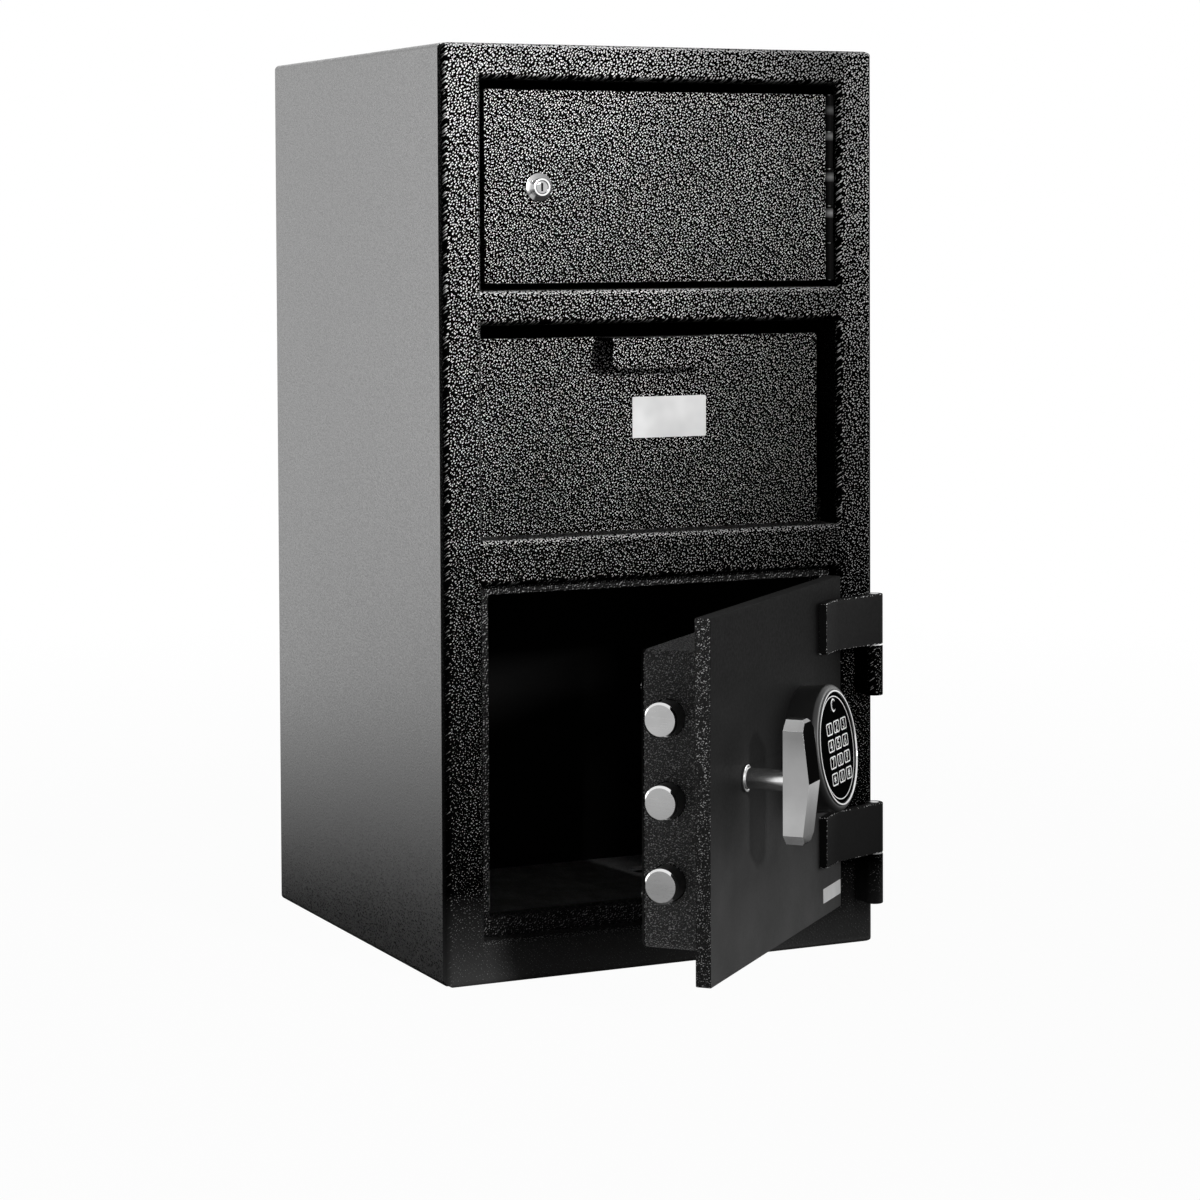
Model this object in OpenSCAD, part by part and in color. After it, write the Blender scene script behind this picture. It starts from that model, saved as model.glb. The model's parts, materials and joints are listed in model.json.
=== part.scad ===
// Drop safe: a welded steel floor safe with three fronts one above another: a small key
// locker, a tilting deposit hopper, and a safe door with three locking bolts, a T handle
// and a round keypad. Millimetres; x to the right, y to the back, z up. The origin is the
// middle of the base's underside, and the safe door is drawn standing open by door_angle.

/* [Body] */
// Width of the body
body_w = 355.6; // [340:0.1:420]
// Depth of the body, front frame included
body_d = 355.6; // [320:0.1:460]
// Thickness of the sides, the top and the back
wall_t = 4; // [3:0.5:6]
// Thickness of the base plate
base_t = 6; // [4:0.5:10]
// Bend radius of the long edges that run front to back
edge_r = 4; // [2:0.5:6]
// Diameter of each anchor hole in the base
anchor_hole_d = 13; // [8:0.5:18]
// Distance between the anchor holes from side to side
anchor_span_x = 250; // [180:1:260]
// Distance between the anchor holes from front to back
anchor_span_y = 220; // [140:1:240]

/* [Front frame] */
// Thickness of the frame's sheet
frame_t = 3; // [2:0.5:4]
// Bend radius of the frame's outer edge
frame_bend_r = 5; // [4:0.5:8]
// Corner radius of the frame, seen from the front
frame_corner_r = 6.5; // [5:0.5:10]
// Depth of the return behind the frame's outer edge
frame_return = 10; // [8:1:20]
// Radius of the rolled edge round each opening
roll_r = 5.5; // [4.5:0.5:8]
// Depth of the jambs inside the openings
jamb_depth = 28; // [24:1:32]
// Width of the stile at each side
stile_w = 30.3; // [28:0.1:36]
// Height of the top rail
top_rail_h = 26.3; // [20:0.1:40]
// Height of the locker opening
locker_open_h = 153; // [130:1:200]
// Height of the rail under the locker
locker_rail_h = 25.5; // [20:0.5:40]
// Height of the hopper opening
hopper_open_h = 156; // [140:1:180]
// Height of the rail under the hopper
hopper_rail_h = 34; // [24:1:45]
// Height of the safe door opening
door_open_h = 259; // [250:1:300]
// Height of the bottom rail
bottom_rail_h = 32; // [24:1:40]

/* [Door jamb ring] */
// Depth of the ring that the safe door closes on
ring_depth = 17; // [12:1:17]
// Width of the ring at the sides
ring_side_w = 9; // [8:0.5:14]
// Height of the ring under the door
ring_foot_h = 14; // [8:1:15]
// Height of the ring over the door
ring_head_h = 7; // [6:1:24]
// Gap between the shut door and the ring
ring_gap = 1.3; // [0.5:0.1:2]

/* [Inside] */
// Thickness of the locker's floor
shelf_t = 3; // [2:0.5:3]
// Height of the baffle's upper edge above the base
baffle_z = 372; // [340:1:400]
// Reach of the baffle from the back wall
baffle_reach = 110; // [60:1:140]
// Drop of the baffle's plate over its reach
baffle_drop = 55; // [30:1:70]
// Thickness of the baffle's sheet
baffle_t = 2.5; // [1.5:0.5:4]
// Number of teeth on the baffle
baffle_teeth = 12; // [6:1:16]
// Thickness of the floor mat
mat_t = 3.5; // [2:0.5:6]

/* [Safe door] */
// Angle at which the door stands open
door_angle = 42.5; // [0:0.5:67]
// Gap round the door
door_gap = 3.5; // [2:0.5:5]
// Thickness of the door plate
door_t = 11.5; // [10:0.5:14]
// Setback of the door's face behind the frame
door_recess = 1; // [0:0.5:3]
// Inset of the pan from the door's free edge
pan_inset_free = 35; // [34:1:42]
// Inset of the pan from the door's hinge edge
pan_inset_hinge = 25; // [20:1:34]
// Inset of the pan from the door's lower edge
pan_inset_foot = 15.5; // [15:0.5:20]
// Inset of the pan from the door's upper edge
pan_inset_head = 28; // [26:1:40]
// Depth of the pan behind the plate
pan_depth = 51; // [48:1:58]
// Thickness of the pan's sheet
pan_t = 2.5; // [2:0.5:3]
// Corner radius of the pan
pan_r = 6; // [4:1:10]
// Thickness of the cover on the pan's back
cover_t = 1.5; // [1:0.5:2]
// Distance of the cover's lower screws above the pan's foot
screw_foot_in = 36; // [20:1:60]
// Distance of the cover's upper screws under the pan's head
screw_head_in = 26.5; // [20:0.5:60]

/* [Door hinges] */
// Distance of the hinge pin in front of the frame
pin_out = 17.7; // [16:0.1:22]
// Distance of the hinge pin from the body's side
pin_in = 9.3; // [8:0.1:12]
// Outside diameter of the hinge knuckles
knuckle_d = 13.4; // [12:0.2:15]
// Diameter of the hinge pins
hinge_pin_d = 7; // [5:0.5:8]
// Running clearance of each pin and shaft, on the radius
run_clear = 0.08; // [0.04:0.01:0.1]
// Thickness of the strap on the door
strap_t = 6; // [4:0.5:6]
// Length of the strap's flat on the door's face, before its bend
strap_flat = 28; // [20:1:34]
// Distance from the door's hinge edge to the strap's bend
strap_bend_in = 25; // [20:1:30]
// Height of one hinge half
leaf_h = 38.3; // [30:0.1:44]
// Thickness of the washer between the halves
washer_t = 1; // [0.8:0.1:2]
// Distance of the upper hinge's middle under the door opening's head
upper_hinge_in = 57.6; // [50:0.1:80]
// Distance of the lower hinge's middle above the door opening's foot
lower_hinge_in = 41.4; // [40:0.1:70]

/* [Boltwork] */
// Diameter of the locking bolts
bolt_d = 25; // [18:0.5:26]
// Height of the middle bolt above the base
bolt_mid_z = 155.5; // [150:0.5:160]
// Spacing of the bolts
bolt_pitch = 57.5; // [50:0.5:60]
// Distance of the bolt axes behind the door plate
bolt_back = 32.7; // [31:0.1:34]
// Distance that a withdrawn bolt stands out of the pan
bolt_rest_out = 15.5; // [10:0.5:16]
// Travel of the bolts
bolt_throw = 20; // [16:0.5:20]
// Chamfer on the bolts' ends
bolt_chamfer = 1.5; // [1:0.5:4]
// Thickness of the carriage's plates
carriage_t = 4; // [3:0.5:4]
// Diameter of the guide studs' shoulders
stud_d = 8; // [6:0.5:8]
// Sliding clearance of the studs and the crank pin in their slots
slot_clear = 0.5; // [0.4:0.1:0.8]
// Diameter of the crank pin
crank_pin_d = 6; // [5:0.5:6]
// Thickness of the crank
crank_t = 5; // [3:0.5:5]

/* [Lock case] */
// Width of the lock case
lock_case_w = 61; // [50:1:70]
// Height of the lock case
lock_case_h = 85; // [60:1:90]
// Depth of the lock case
lock_case_d = 32; // [30:1:38]
// Width of the lock's bolt
lock_bolt_w = 8; // [6:0.5:9]
// Travel of the lock's bolt
lock_throw = 7; // [5:0.5:8]
// Length of the lock's bolt inside its case
lock_bolt_len = 34; // [24:1:40]

/* [Handle] */
// Distance of the handle shaft from the door's free edge
handle_in = 71; // [66:1:80]
// Height of the handle shaft above the base
handle_z = 168; // [160:1:175]
// Diameter of the handle shaft
shaft_d = 15; // [10:0.5:16]
// Clear length of the shaft in front of the door
shaft_out = 31.4; // [26:0.1:38]
// Length of the T grip
grip_len = 87; // [70:1:110]
// Width of the T grip
grip_w = 24; // [18:1:28]
// Depth of the T grip at its ends
grip_end_d = 14; // [12:0.5:18]
// Extra depth of the T grip at its middle
grip_crown = 5; // [2:0.5:8]
// Cut corner at each end of the T grip
grip_corner = 7; // [3:0.5:9]
// Diameter of the bush's collar
collar_d = 19.4; // [19.4:0.2:22]
// Thickness of the bush's collar
collar_t = 2; // [1:0.5:3]

/* [Keypad] */
// Distance of the keypad's middle from the door's free edge
keypad_in = 194; // [185:1:200]
// Height of the keypad's foot above the base
keypad_z = 169; // [165:1:175]
// Diameter of the housing
keypad_d = 93; // [90:0.5:100]
// Height of the housing at its middle
keypad_h = 28; // [24:0.5:34]
// Slope of the keypad's face, lower edge forward
keypad_slope = 7; // [0:0.5:10]
// Radius of the housing's front edge
keypad_edge_r = 4; // [2:0.5:4.5]
// Outside diameter of the bright ring
keypad_ring_d = 85; // [82:0.5:86]
// Width of the bright ring
keypad_ring_w = 2.4; // [1.5:0.1:3]
// Width of a key
key_w = 14; // [10:0.5:14.5]
// Height of a key
key_h = 10.2; // [8:0.1:10.5]
// Spacing of the keys from side to side
key_pitch_x = 16.3; // [16:0.1:18]
// Spacing of the keys up and down
key_pitch_y = 12.1; // [12:0.1:12.6]
// Travel of a key
key_travel = 1; // [0.5:0.1:1.2]
// Gap round a key
key_gap = 0.3; // [0.2:0.05:0.4]

/* [Locker] */
// Setback of the locker door behind the frame
locker_recess = 5; // [3:0.5:8]
// Gap beside the locker door's free edge
locker_gap = 4; // [2:0.5:5]
// Gap under the locker door
locker_foot_gap = 5; // [1:0.5:8]
// Gap over the locker door
locker_head_gap = 7; // [2:0.5:10]
// Thickness of the locker door's sheet
locker_t = 3; // [2:0.5:4]
// Depth of the locker door's folded edges
locker_fold = 12; // [11:0.5:16]
// Diameter of the locker hinge's knuckles
piano_d = 6; // [5:0.5:6.5]
// Diameter of the locker hinge's pin
piano_pin_d = 2.4; // [2:0.1:3]
// Number of knuckles on the locker hinge
piano_knuckles = 5; // [3:2:9]
// Thickness of the locker hinge's leaves
piano_leaf_t = 1.2; // [1:0.1:1.5]
// Distance of the cam lock from the locker door's free edge
cam_lock_in = 42.5; // [35:0.5:60]
// Diameter of the cam lock's flange
cam_flange_d = 21; // [18:0.5:24]
// Diameter of the cam lock's barrel
cam_barrel_d = 16; // [14:0.5:17]
// Diameter of the turning plug
cam_plug_d = 9; // [8:0.5:10]
// Distance that the cam lock stands out of the locker door
cam_lock_out = 8; // [6:0.5:10]
// Width of the cam
cam_w = 12; // [10:0.5:14]
// Thickness of the cam
cam_t = 2; // [1.5:0.5:3]

/* [Hopper] */
// Thickness of the hopper's sheets
hopper_t = 2.5; // [2:0.5:3]
// Gap at each side of the hopper
hopper_gap = 3; // [2:0.5:4]
// Gap over the hopper panel
hopper_head_gap = 10.5; // [3:0.5:14]
// Height of the hopper's pivot above the opening's foot
hopper_pivot_up = 8; // [7:0.5:10]
// Distance of the hopper's pivot behind the panel's face
hopper_pivot_back = 9.5; // [9:0.5:14]
// Diameter of the hopper's pivot rod
hopper_rod_d = 8; // [6:0.5:8]
// Length of the hopper's tray
tray_len = 106; // [80:1:110]
// Slope of the tray under the level when the hopper is shut
tray_slope = 35; // [30:1:40]
// Width of the pull lip
lip_w = 88; // [70:1:110]
// Offset of the pull lip to the right of the panel's middle
lip_shift = 2; // [-10:0.5:10]
// Height of the pull lip
lip_h = 23; // [18:1:32]
// Distance of the pull lip's face in front of the panel
lip_out = 26; // [18:0.5:26]
// Corner radius of the pull lip
lip_r = 6; // [2:0.5:10]

/* [Hidden] */

$fn = 64;

// Steps in a right-angle bend
bend_steps = 8;
// Amount by which a cut passes the face that it opens
over = 1;

coat = [0.09, 0.09, 0.095];
coat_inside = [0.05, 0.05, 0.052];
mat_grey = [0.34, 0.34, 0.35];
bright_steel = [0.72, 0.72, 0.73];
chrome = [0.85, 0.85, 0.87];
plastic = [0.06, 0.06, 0.065];
key_rubber = [0.13, 0.13, 0.14];
zinc = [0.62, 0.62, 0.6];

// Planes of the body
body_h = bottom_rail_h + door_open_h + hopper_rail_h + hopper_open_h + locker_rail_h
    + locker_open_h + top_rail_h;
front_y = -body_d / 2;
back_y = body_d / 2;
inner_x = body_w / 2 - wall_t;
inner_back_y = back_y - wall_t;
shell_front_y = front_y + frame_return;
jamb_x = body_w / 2 - stile_w;
jamb_back_y = front_y + jamb_depth;

// Levels of the three openings
door_z0 = bottom_rail_h;
door_z1 = door_z0 + door_open_h;
upper_hinge_z = door_z1 - upper_hinge_in;
lower_hinge_z = door_z0 + lower_hinge_in;
hopper_z0 = door_z1 + hopper_rail_h;
hopper_z1 = hopper_z0 + hopper_open_h;
locker_z0 = hopper_z1 + locker_rail_h;
locker_z1 = locker_z0 + locker_open_h;

// Mat round the anchor holes
mat_edge = 4;
mat_hole_d = anchor_hole_d + 17;

// Safe door, in its shut place
plate_x0 = -jamb_x + door_gap;
plate_x1 = jamb_x - door_gap;
plate_z0 = door_z0 + door_gap;
plate_z1 = door_z1 - door_gap;
face_y = front_y + door_recess;
plate_back_y = face_y + door_t;
ring_y = plate_back_y + ring_gap;
hinge_axis = [body_w / 2 - pin_in, front_y - pin_out];
knuckle_r = knuckle_d / 2;

// Pan on the door's back
pan_x0 = plate_x0 + pan_inset_free;
pan_x1 = plate_x1 - pan_inset_hinge;
pan_z0 = plate_z0 + pan_inset_foot;
pan_z1 = plate_z1 - pan_inset_head;
pan_back_y = plate_back_y + pan_depth;
tab_w = 13;
tab_t = 3;
tab_root = pan_t / 2;
tab_z = [pan_z0 + screw_foot_in, pan_z1 - screw_head_in];
screw_d = 3.6;
screw_head_d = 7;
screw_head_h = 2.2;

// Boltwork, withdrawn
bolt_y = plate_back_y + bolt_back;
bolt_tip_x = pan_x0 - bolt_rest_out;
bolt_end_x = pan_x0 + pan_t + bolt_throw + 2.5;
bolt_z = [for (i = [-1:1]) bolt_mid_z + i * bolt_pitch];
handle_x = plate_x0 + handle_in;
crank_y = plate_back_y + 1.5;
crank_swing = 30;
crank_r = bolt_throw / (2 * sin(crank_swing));
crank_pin_x = handle_x + bolt_throw / 2;
crank_pin_z = handle_z + crank_r * cos(crank_swing);
crank_eye_r = crank_pin_d / 2 + 3;
bush_r = shaft_d / 2 + 1.4;
crank_hub_r = shaft_d / 2 + 1.5;
web_y = crank_y + crank_t + 2.8;
web_x1 = crank_pin_x + bolt_throw + 1;
web_z0 = bolt_z[0] - 14;
web_z1 = bolt_z[2] + 14;
stud_x = bolt_end_x + carriage_t + stud_d / 2 + 2;
stud_z = [bolt_z[0] + 4, bolt_z[2] - 1];
stud_head_d = stud_d + 4;

// Lock case and its bolt, withdrawn
keypad_x = plate_x0 + keypad_in;
lock_case_z = handle_z - 18;
lock_bolt_x = keypad_x - 23;
lock_bolt_d = 16;
lock_bolt_out = 0.5;
lock_pass = 1.5;
tooth_gap = 0.5;
tooth_w = bolt_throw - lock_bolt_w - 2 * tooth_gap;
tooth_x = lock_bolt_x + lock_bolt_w + tooth_gap;
tooth_z = lock_case_z - lock_bolt_out - lock_throw - lock_pass;
arm_h = 16;

// Hinge strap: its outer face runs from the bend to a tangent on the knuckle
strap_bend = [plate_x1 - strap_bend_in, face_y - strap_t];
to_pin = hinge_axis - strap_bend;
strap_angle = atan2(to_pin.y, to_pin.x) - asin(knuckle_r / norm(to_pin));
strap_dir = [cos(strap_angle), sin(strap_angle)];
strap_out = [sin(strap_angle), -cos(strap_angle)];
strap_tangent = hinge_axis + knuckle_r * strap_out;
strap_inner = strap_tangent - strap_t * strap_out;
strap_inner_bend = [strap_inner.x + (face_y - strap_inner.y) * strap_dir.x / strap_dir.y, face_y];

// Keypad
keypad_r = keypad_d / 2;
ring_ro = keypad_ring_d / 2;
ring_ri = ring_ro - keypad_ring_w;
face_top = keypad_h - 0.5;
face_t = 3;
key_floor = keypad_h - 9;
key_top = keypad_h + 0.8;
key_foot = key_floor + 1.2 + key_travel + 0.3;
key_rows_mid = -2.75;
lamp_v = 31;
lamp_d = 10;
key_names = ["key_1", "key_2", "key_3", "key_4", "key_5", "key_6", "key_7", "key_8",
    "key_9", "key_star", "key_0", "key_hash"];

// Locker door and its long hinge
locker_face_y = front_y + locker_recess;
locker_x0 = -jamb_x + locker_gap;
piano_axis = [jamb_x - piano_d / 2 - 1, locker_face_y + 1.3];
locker_x1 = piano_axis.x - piano_d / 2 - 1;
locker_door_z0 = locker_z0 + locker_foot_gap;
locker_door_z1 = locker_z1 - locker_head_gap;
knuckle_pitch = (locker_door_z1 - locker_door_z0) / piano_knuckles;
knuckle_gap = 0.4;
leaf_start = piano_d / 2 + 0.4;
frame_leaf_w = 18;
door_leaf_w = locker_fold - 1.3;
cam_x = locker_x0 + cam_lock_in;
cam_z = (locker_door_z0 + locker_door_z1) / 2 - 0.4;
cam_y = jamb_back_y + 0.5;
cam_reach = cam_x + jamb_x + 2.2;
flange_t = 2.5;
nut_t = 4;
nut_d = cam_barrel_d + 9;

// Hopper, shut
hopper_face_y = jamb_back_y + 0.5;
hopper_axis = [hopper_face_y + hopper_pivot_back, hopper_z0 + hopper_pivot_up];
hopper_x = jamb_x - hopper_gap;
panel_z0 = hopper_z0 - 2;
panel_z1 = hopper_z1 - hopper_head_gap;
panel_reach = panel_z1 - 3 - hopper_axis.y;
ear_reach = 12;
ear_half = 9.5;
cheek_foot = 9;

// Points of an arc about a middle, in equal steps
function arc(mid, r, a0, a1, steps = bend_steps) =
    [for (i = [0:steps]) mid + r * [cos(a0 + (a1 - a0) * i / steps), sin(a0 + (a1 - a0) * i / steps)]];

// Outline of a rectangle with its corners cut off, between two opposite corners
function cut_rect(a, b, c) = [[a.x + c, a.y], [b.x - c, a.y], [b.x, a.y + c], [b.x, b.y - c],
    [b.x - c, b.y], [a.x + c, b.y], [a.x, b.y - c], [a.x, a.y + c]];

// Outline of a rectangle with rounded corners, between two opposite corners
function round_rect(p0, p1, r) = concat(
    arc([p0.x + r, p0.y + r], r, 180, 270),
    arc([p1.x - r, p0.y + r], r, 270, 360),
    arc([p1.x - r, p1.y - r], r, 0, 90),
    arc([p0.x + r, p1.y - r], r, 90, 180));

// Section of a rolled opening edge: x runs away from the opening, y runs inwards
function rolled_edge() = concat(
    arc([roll_r, roll_r], roll_r, 270, 180),
    [[0, jamb_depth], [frame_t, jamb_depth]],
    arc([roll_r, roll_r], roll_r - frame_t, 180, 270));

// Extrudes an x-z outline along y, from y0 to y1
module along_y(y0, y1) {
    translate([0, y1, 0]) rotate([90, 0, 0]) linear_extrude(y1 - y0) children();
}

// Extrudes a y-z outline along x, from x0 to x1
module along_x(x0, x1) {
    translate([x0, 0, 0]) rotate([90, 0, 90]) linear_extrude(x1 - x0) children();
}

// Cylinder along y, from y0 to y1, on the axis at x, z
module rod_y(x, z, r, y0, y1) {
    translate([x, y0, z]) rotate([-90, 0, 0]) cylinder(r = r, h = y1 - y0);
}

// Cylinder along x, from x0 to x1, on the axis at y, z
module rod_x(y, z, r, x0, x1) {
    translate([x0, y, z]) rotate([0, 90, 0]) cylinder(r = r, h = x1 - x0);
}

// Box between two opposite corners
module box(p0, p1) {
    translate(p0) cube(p1 - p0);
}

// Turns shut door pieces to where the door stands open
module on_safe_door() {
    translate([hinge_axis.x, hinge_axis.y, 0]) rotate([0, 0, door_angle])
        translate([-hinge_axis.x, -hinge_axis.y, 0]) children();
}

// Keypad's own place: z runs out of the sloping face, y runs up it
module on_keypad() {
    on_safe_door() translate([keypad_x, face_y, keypad_z])
        rotate([90 - keypad_slope, 0, 0]) children();
}

// Block of the front frame, drawn in by inset and open to the back
module frame_block(inset, depth) {
    half = body_w / 2 - inset;
    r = frame_bend_r - inset;
    y0 = front_y + inset;
    intersection() {
        along_y(y0, front_y + depth)
            polygon(round_rect([-half, inset], [half, body_h - inset], frame_corner_r - inset));
        linear_extrude(body_h) polygon(concat(
            arc([-half + r, y0 + r], r, 180, 270),
            arc([half - r, y0 + r], r, 270, 360),
            [[half, front_y + depth], [-half, front_y + depth]]));
        along_x(-half, half) polygon(concat(
            arc([y0 + r, inset + r], r, 270, 180),
            arc([y0 + r, body_h - inset - r], r, 180, 90),
            [[front_y + depth, body_h - inset], [front_y + depth, inset]]));
    }
}

// Rolled edges round one opening
module rolled_opening(z0, z1) {
    span = jamb_x + roll_r;
    for (side = [0, 1])
        mirror([side, 0, 0]) translate([jamb_x, front_y, z0 - roll_r])
            linear_extrude(z1 - z0 + 2 * roll_r) polygon(rolled_edge());
    for (end = [[z0, 1], [z1, 0]])
        translate([0, front_y, end[0]]) mirror([0, 0, end[1]])
            along_x(-span, span) polygon([for (p = rolled_edge()) [p.y, p.x]]);
}

module front_frame() {
    openings = [[door_z0, door_z1], [hopper_z0, hopper_z1], [locker_z0, locker_z1]];
    color(coat) union() {
        difference() {
            frame_block(0, frame_return);
            frame_block(frame_t, frame_return + over);
            for (o = openings)
                box([-jamb_x - roll_r, front_y - over, o[0] - roll_r],
                    [jamb_x + roll_r, front_y + frame_t + over, o[1] + roll_r]);
        }
        for (o = openings)
            rolled_opening(o[0], o[1]);
    }
}

module body_shell() {
    color(coat) difference() {
        along_y(shell_front_y, back_y)
            polygon(round_rect([-body_w / 2, 0], [body_w / 2, body_h], edge_r));
        box([-inner_x, shell_front_y - over, base_t], [inner_x, inner_back_y, body_h - wall_t]);
        for (sx = [-1, 1], sy = [-1, 1])
            translate([sx * anchor_span_x / 2, sy * anchor_span_y / 2, -over])
                cylinder(d = anchor_hole_d, h = base_t + 2 * over);
    }
}

module jamb_ring() {
    color(coat) difference() {
        box([-jamb_x, ring_y, door_z0], [jamb_x, ring_y + ring_depth, door_z1]);
        box([-jamb_x + ring_side_w, ring_y - over, door_z0 + ring_foot_h],
            [jamb_x - ring_side_w, ring_y + ring_depth + over, door_z1 - ring_head_h]);
    }
}

module locker_floor() {
    color(coat_inside)
        box([-inner_x, jamb_back_y, locker_z0 - shelf_t], [inner_x, inner_back_y, locker_z0]);
}

// Bent sheet on the back wall, with a toothed front edge over the vault
module anti_fish_baffle() {
    flange_h = 20;
    tooth_d = 14;
    pitch = 2 * inner_x / baffle_teeth;
    front = [inner_back_y - baffle_reach, baffle_z - baffle_drop];
    color(coat_inside) difference() {
        along_x(-inner_x, inner_x) polygon([
            [inner_back_y, baffle_z + flange_h], [inner_back_y, baffle_z - baffle_t],
            [front.x, front.y - baffle_t], front,
            [inner_back_y - baffle_t, baffle_z], [inner_back_y - baffle_t, baffle_z + flange_h]]);
        for (i = [0:baffle_teeth - 1])
            translate([-inner_x + (i + 0.5) * pitch, front.x, front.y - baffle_drop])
                linear_extrude(3 * baffle_drop)
                    polygon([[-pitch / 2, -over], [pitch / 2, -over], [0, tooth_d]]);
    }
}

module floor_mat() {
    color(mat_grey) difference() {
        translate([0, 0, base_t]) linear_extrude(mat_t)
            polygon(round_rect([-inner_x + mat_edge, jamb_back_y + mat_edge],
                [inner_x - mat_edge, inner_back_y - mat_edge], mat_edge));
        for (sx = [-1, 1], sy = [-1, 1])
            translate([sx * anchor_span_x / 2, sy * anchor_span_y / 2, base_t - over])
                cylinder(d = mat_hole_d, h = mat_t + 2 * over);
    }
}

// Bearing ears for the hopper's rod, behind the jambs
module hopper_ears() {
    color(coat) for (side = [0, 1])
        mirror([side, 0, 0]) difference() {
            union() {
                box([jamb_x, jamb_back_y, hopper_axis.y - ear_half],
                    [jamb_x + frame_t, hopper_axis.x, hopper_axis.y + ear_half]);
                rod_x(hopper_axis.x, hopper_axis.y, ear_half, jamb_x, jamb_x + frame_t);
            }
            rod_x(hopper_axis.x, hopper_axis.y, hopper_rod_d / 2 + run_clear,
                jamb_x - over, jamb_x + frame_t + over);
        }
}

// Half of a hinge on the frame: a block with a round nose round the pin
module frame_hinge(mid_z) {
    color(coat) difference() {
        translate([0, 0, mid_z - washer_t / 2 - leaf_h]) union() {
            translate([hinge_axis.x, hinge_axis.y, 0]) cylinder(r = knuckle_r, h = leaf_h);
            box([hinge_axis.x - knuckle_r, hinge_axis.y, 0],
                [hinge_axis.x + knuckle_r, front_y, leaf_h]);
        }
        translate([hinge_axis.x, hinge_axis.y, mid_z - leaf_h - washer_t - over])
            cylinder(d = hinge_pin_d, h = leaf_h + 2 * over + washer_t);
    }
}

module upper_frame_hinge() {
    frame_hinge(upper_hinge_z);
}

module lower_frame_hinge() {
    frame_hinge(lower_hinge_z);
}

module hinge_pins() {
    color(bright_steel) for (z = [upper_hinge_z, lower_hinge_z])
        translate([hinge_axis.x, hinge_axis.y, z - washer_t / 2 - leaf_h])
            cylinder(d = hinge_pin_d, h = 2 * leaf_h + washer_t);
}

module hinge_washers() {
    color(bright_steel) for (z = [upper_hinge_z, lower_hinge_z])
        translate([hinge_axis.x, hinge_axis.y, z - washer_t / 2]) difference() {
            cylinder(r = knuckle_r - 0.4, h = washer_t);
            translate([0, 0, -over]) cylinder(d = hinge_pin_d, h = washer_t + 2 * over);
        }
}

// Half of a hinge on the door: a strap on the door's face, bent out to the pin
module door_hinge(mid_z) {
    color(coat) on_safe_door() difference() {
        translate([0, 0, mid_z + washer_t / 2]) linear_extrude(leaf_h) {
            translate(hinge_axis) circle(r = knuckle_r);
            polygon([[strap_bend.x - strap_flat, face_y], [strap_bend.x - strap_flat, strap_bend.y],
                strap_bend, strap_tangent, strap_inner, strap_inner_bend]);
        }
        translate([hinge_axis.x, hinge_axis.y, mid_z - over])
            cylinder(r = hinge_pin_d / 2 + run_clear, h = leaf_h + 2 * over + washer_t);
    }
}

module upper_door_hinge() {
    door_hinge(upper_hinge_z);
}

module lower_door_hinge() {
    door_hinge(lower_hinge_z);
}

module safe_door_plate() {
    color(coat) on_safe_door() difference() {
        box([plate_x0, face_y, plate_z0], [plate_x1, plate_back_y, plate_z1]);
        rod_y(handle_x, handle_z, bush_r, face_y - over, plate_back_y + over);
        rod_y(keypad_x, keypad_z, 6, face_y - over, plate_back_y + over);
    }
}

// Folded box behind the plate, with a hole for each bolt and four tabs for the cover
module door_pan() {
    color(coat) on_safe_door() {
        difference() {
            along_y(plate_back_y, pan_back_y)
                polygon(round_rect([pan_x0, pan_z0], [pan_x1, pan_z1], pan_r));
            along_y(plate_back_y - over, pan_back_y + over)
                polygon(round_rect([pan_x0 + pan_t, pan_z0 + pan_t],
                    [pan_x1 - pan_t, pan_z1 - pan_t], pan_r - pan_t));
            for (z = bolt_z)
                rod_x(bolt_y, z, bolt_d / 2 + run_clear, pan_x0 - over, pan_x0 + pan_t + over);
        }
        for (z = tab_z, side = [0, 1])
            difference() {
                x = side == 0 ? pan_x0 + pan_t + tab_w / 2 : pan_x1 - pan_t - tab_w / 2;
                box([x - tab_w / 2 - (1 - side) * tab_root, pan_back_y - tab_t, z - tab_w / 2],
                    [x + tab_w / 2 + side * tab_root, pan_back_y, z + tab_w / 2]);
                rod_y(x, z, screw_d / 2, pan_back_y - tab_t - over, pan_back_y + over);
            }
    }
}

module door_back_cover() {
    edge = 0.6;
    color(coat_inside) on_safe_door() difference() {
        along_y(pan_back_y, pan_back_y + cover_t)
            polygon(round_rect([pan_x0 + edge, pan_z0 + edge], [pan_x1 - edge, pan_z1 - edge], pan_r - edge));
        for (z = tab_z, x = [pan_x0 + pan_t + tab_w / 2, pan_x1 - pan_t - tab_w / 2])
            rod_y(x, z, screw_d / 2, pan_back_y - over, pan_back_y + cover_t + over);
    }
}

module cover_screws() {
    head_y = pan_back_y + cover_t;
    color(zinc) on_safe_door()
        for (z = tab_z, x = [pan_x0 + pan_t + tab_w / 2, pan_x1 - pan_t - tab_w / 2])
            difference() {
                union() {
                    rod_y(x, z, screw_head_d / 2, head_y, head_y + screw_head_h);
                    rod_y(x, z, screw_d / 2, pan_back_y - tab_t, head_y);
                }
                box([x - screw_head_d, head_y + screw_head_h / 2, z - 0.5],
                    [x + screw_head_d, head_y + screw_head_h + over, z + 0.5]);
            }
}

module handle_bush() {
    color(chrome) on_safe_door() difference() {
        union() {
            rod_y(handle_x, handle_z, collar_d / 2, face_y - collar_t, face_y);
            rod_y(handle_x, handle_z, bush_r, face_y, plate_back_y);
        }
        rod_y(handle_x, handle_z, shaft_d / 2 + run_clear, face_y - collar_t - over, plate_back_y + over);
    }
}

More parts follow.
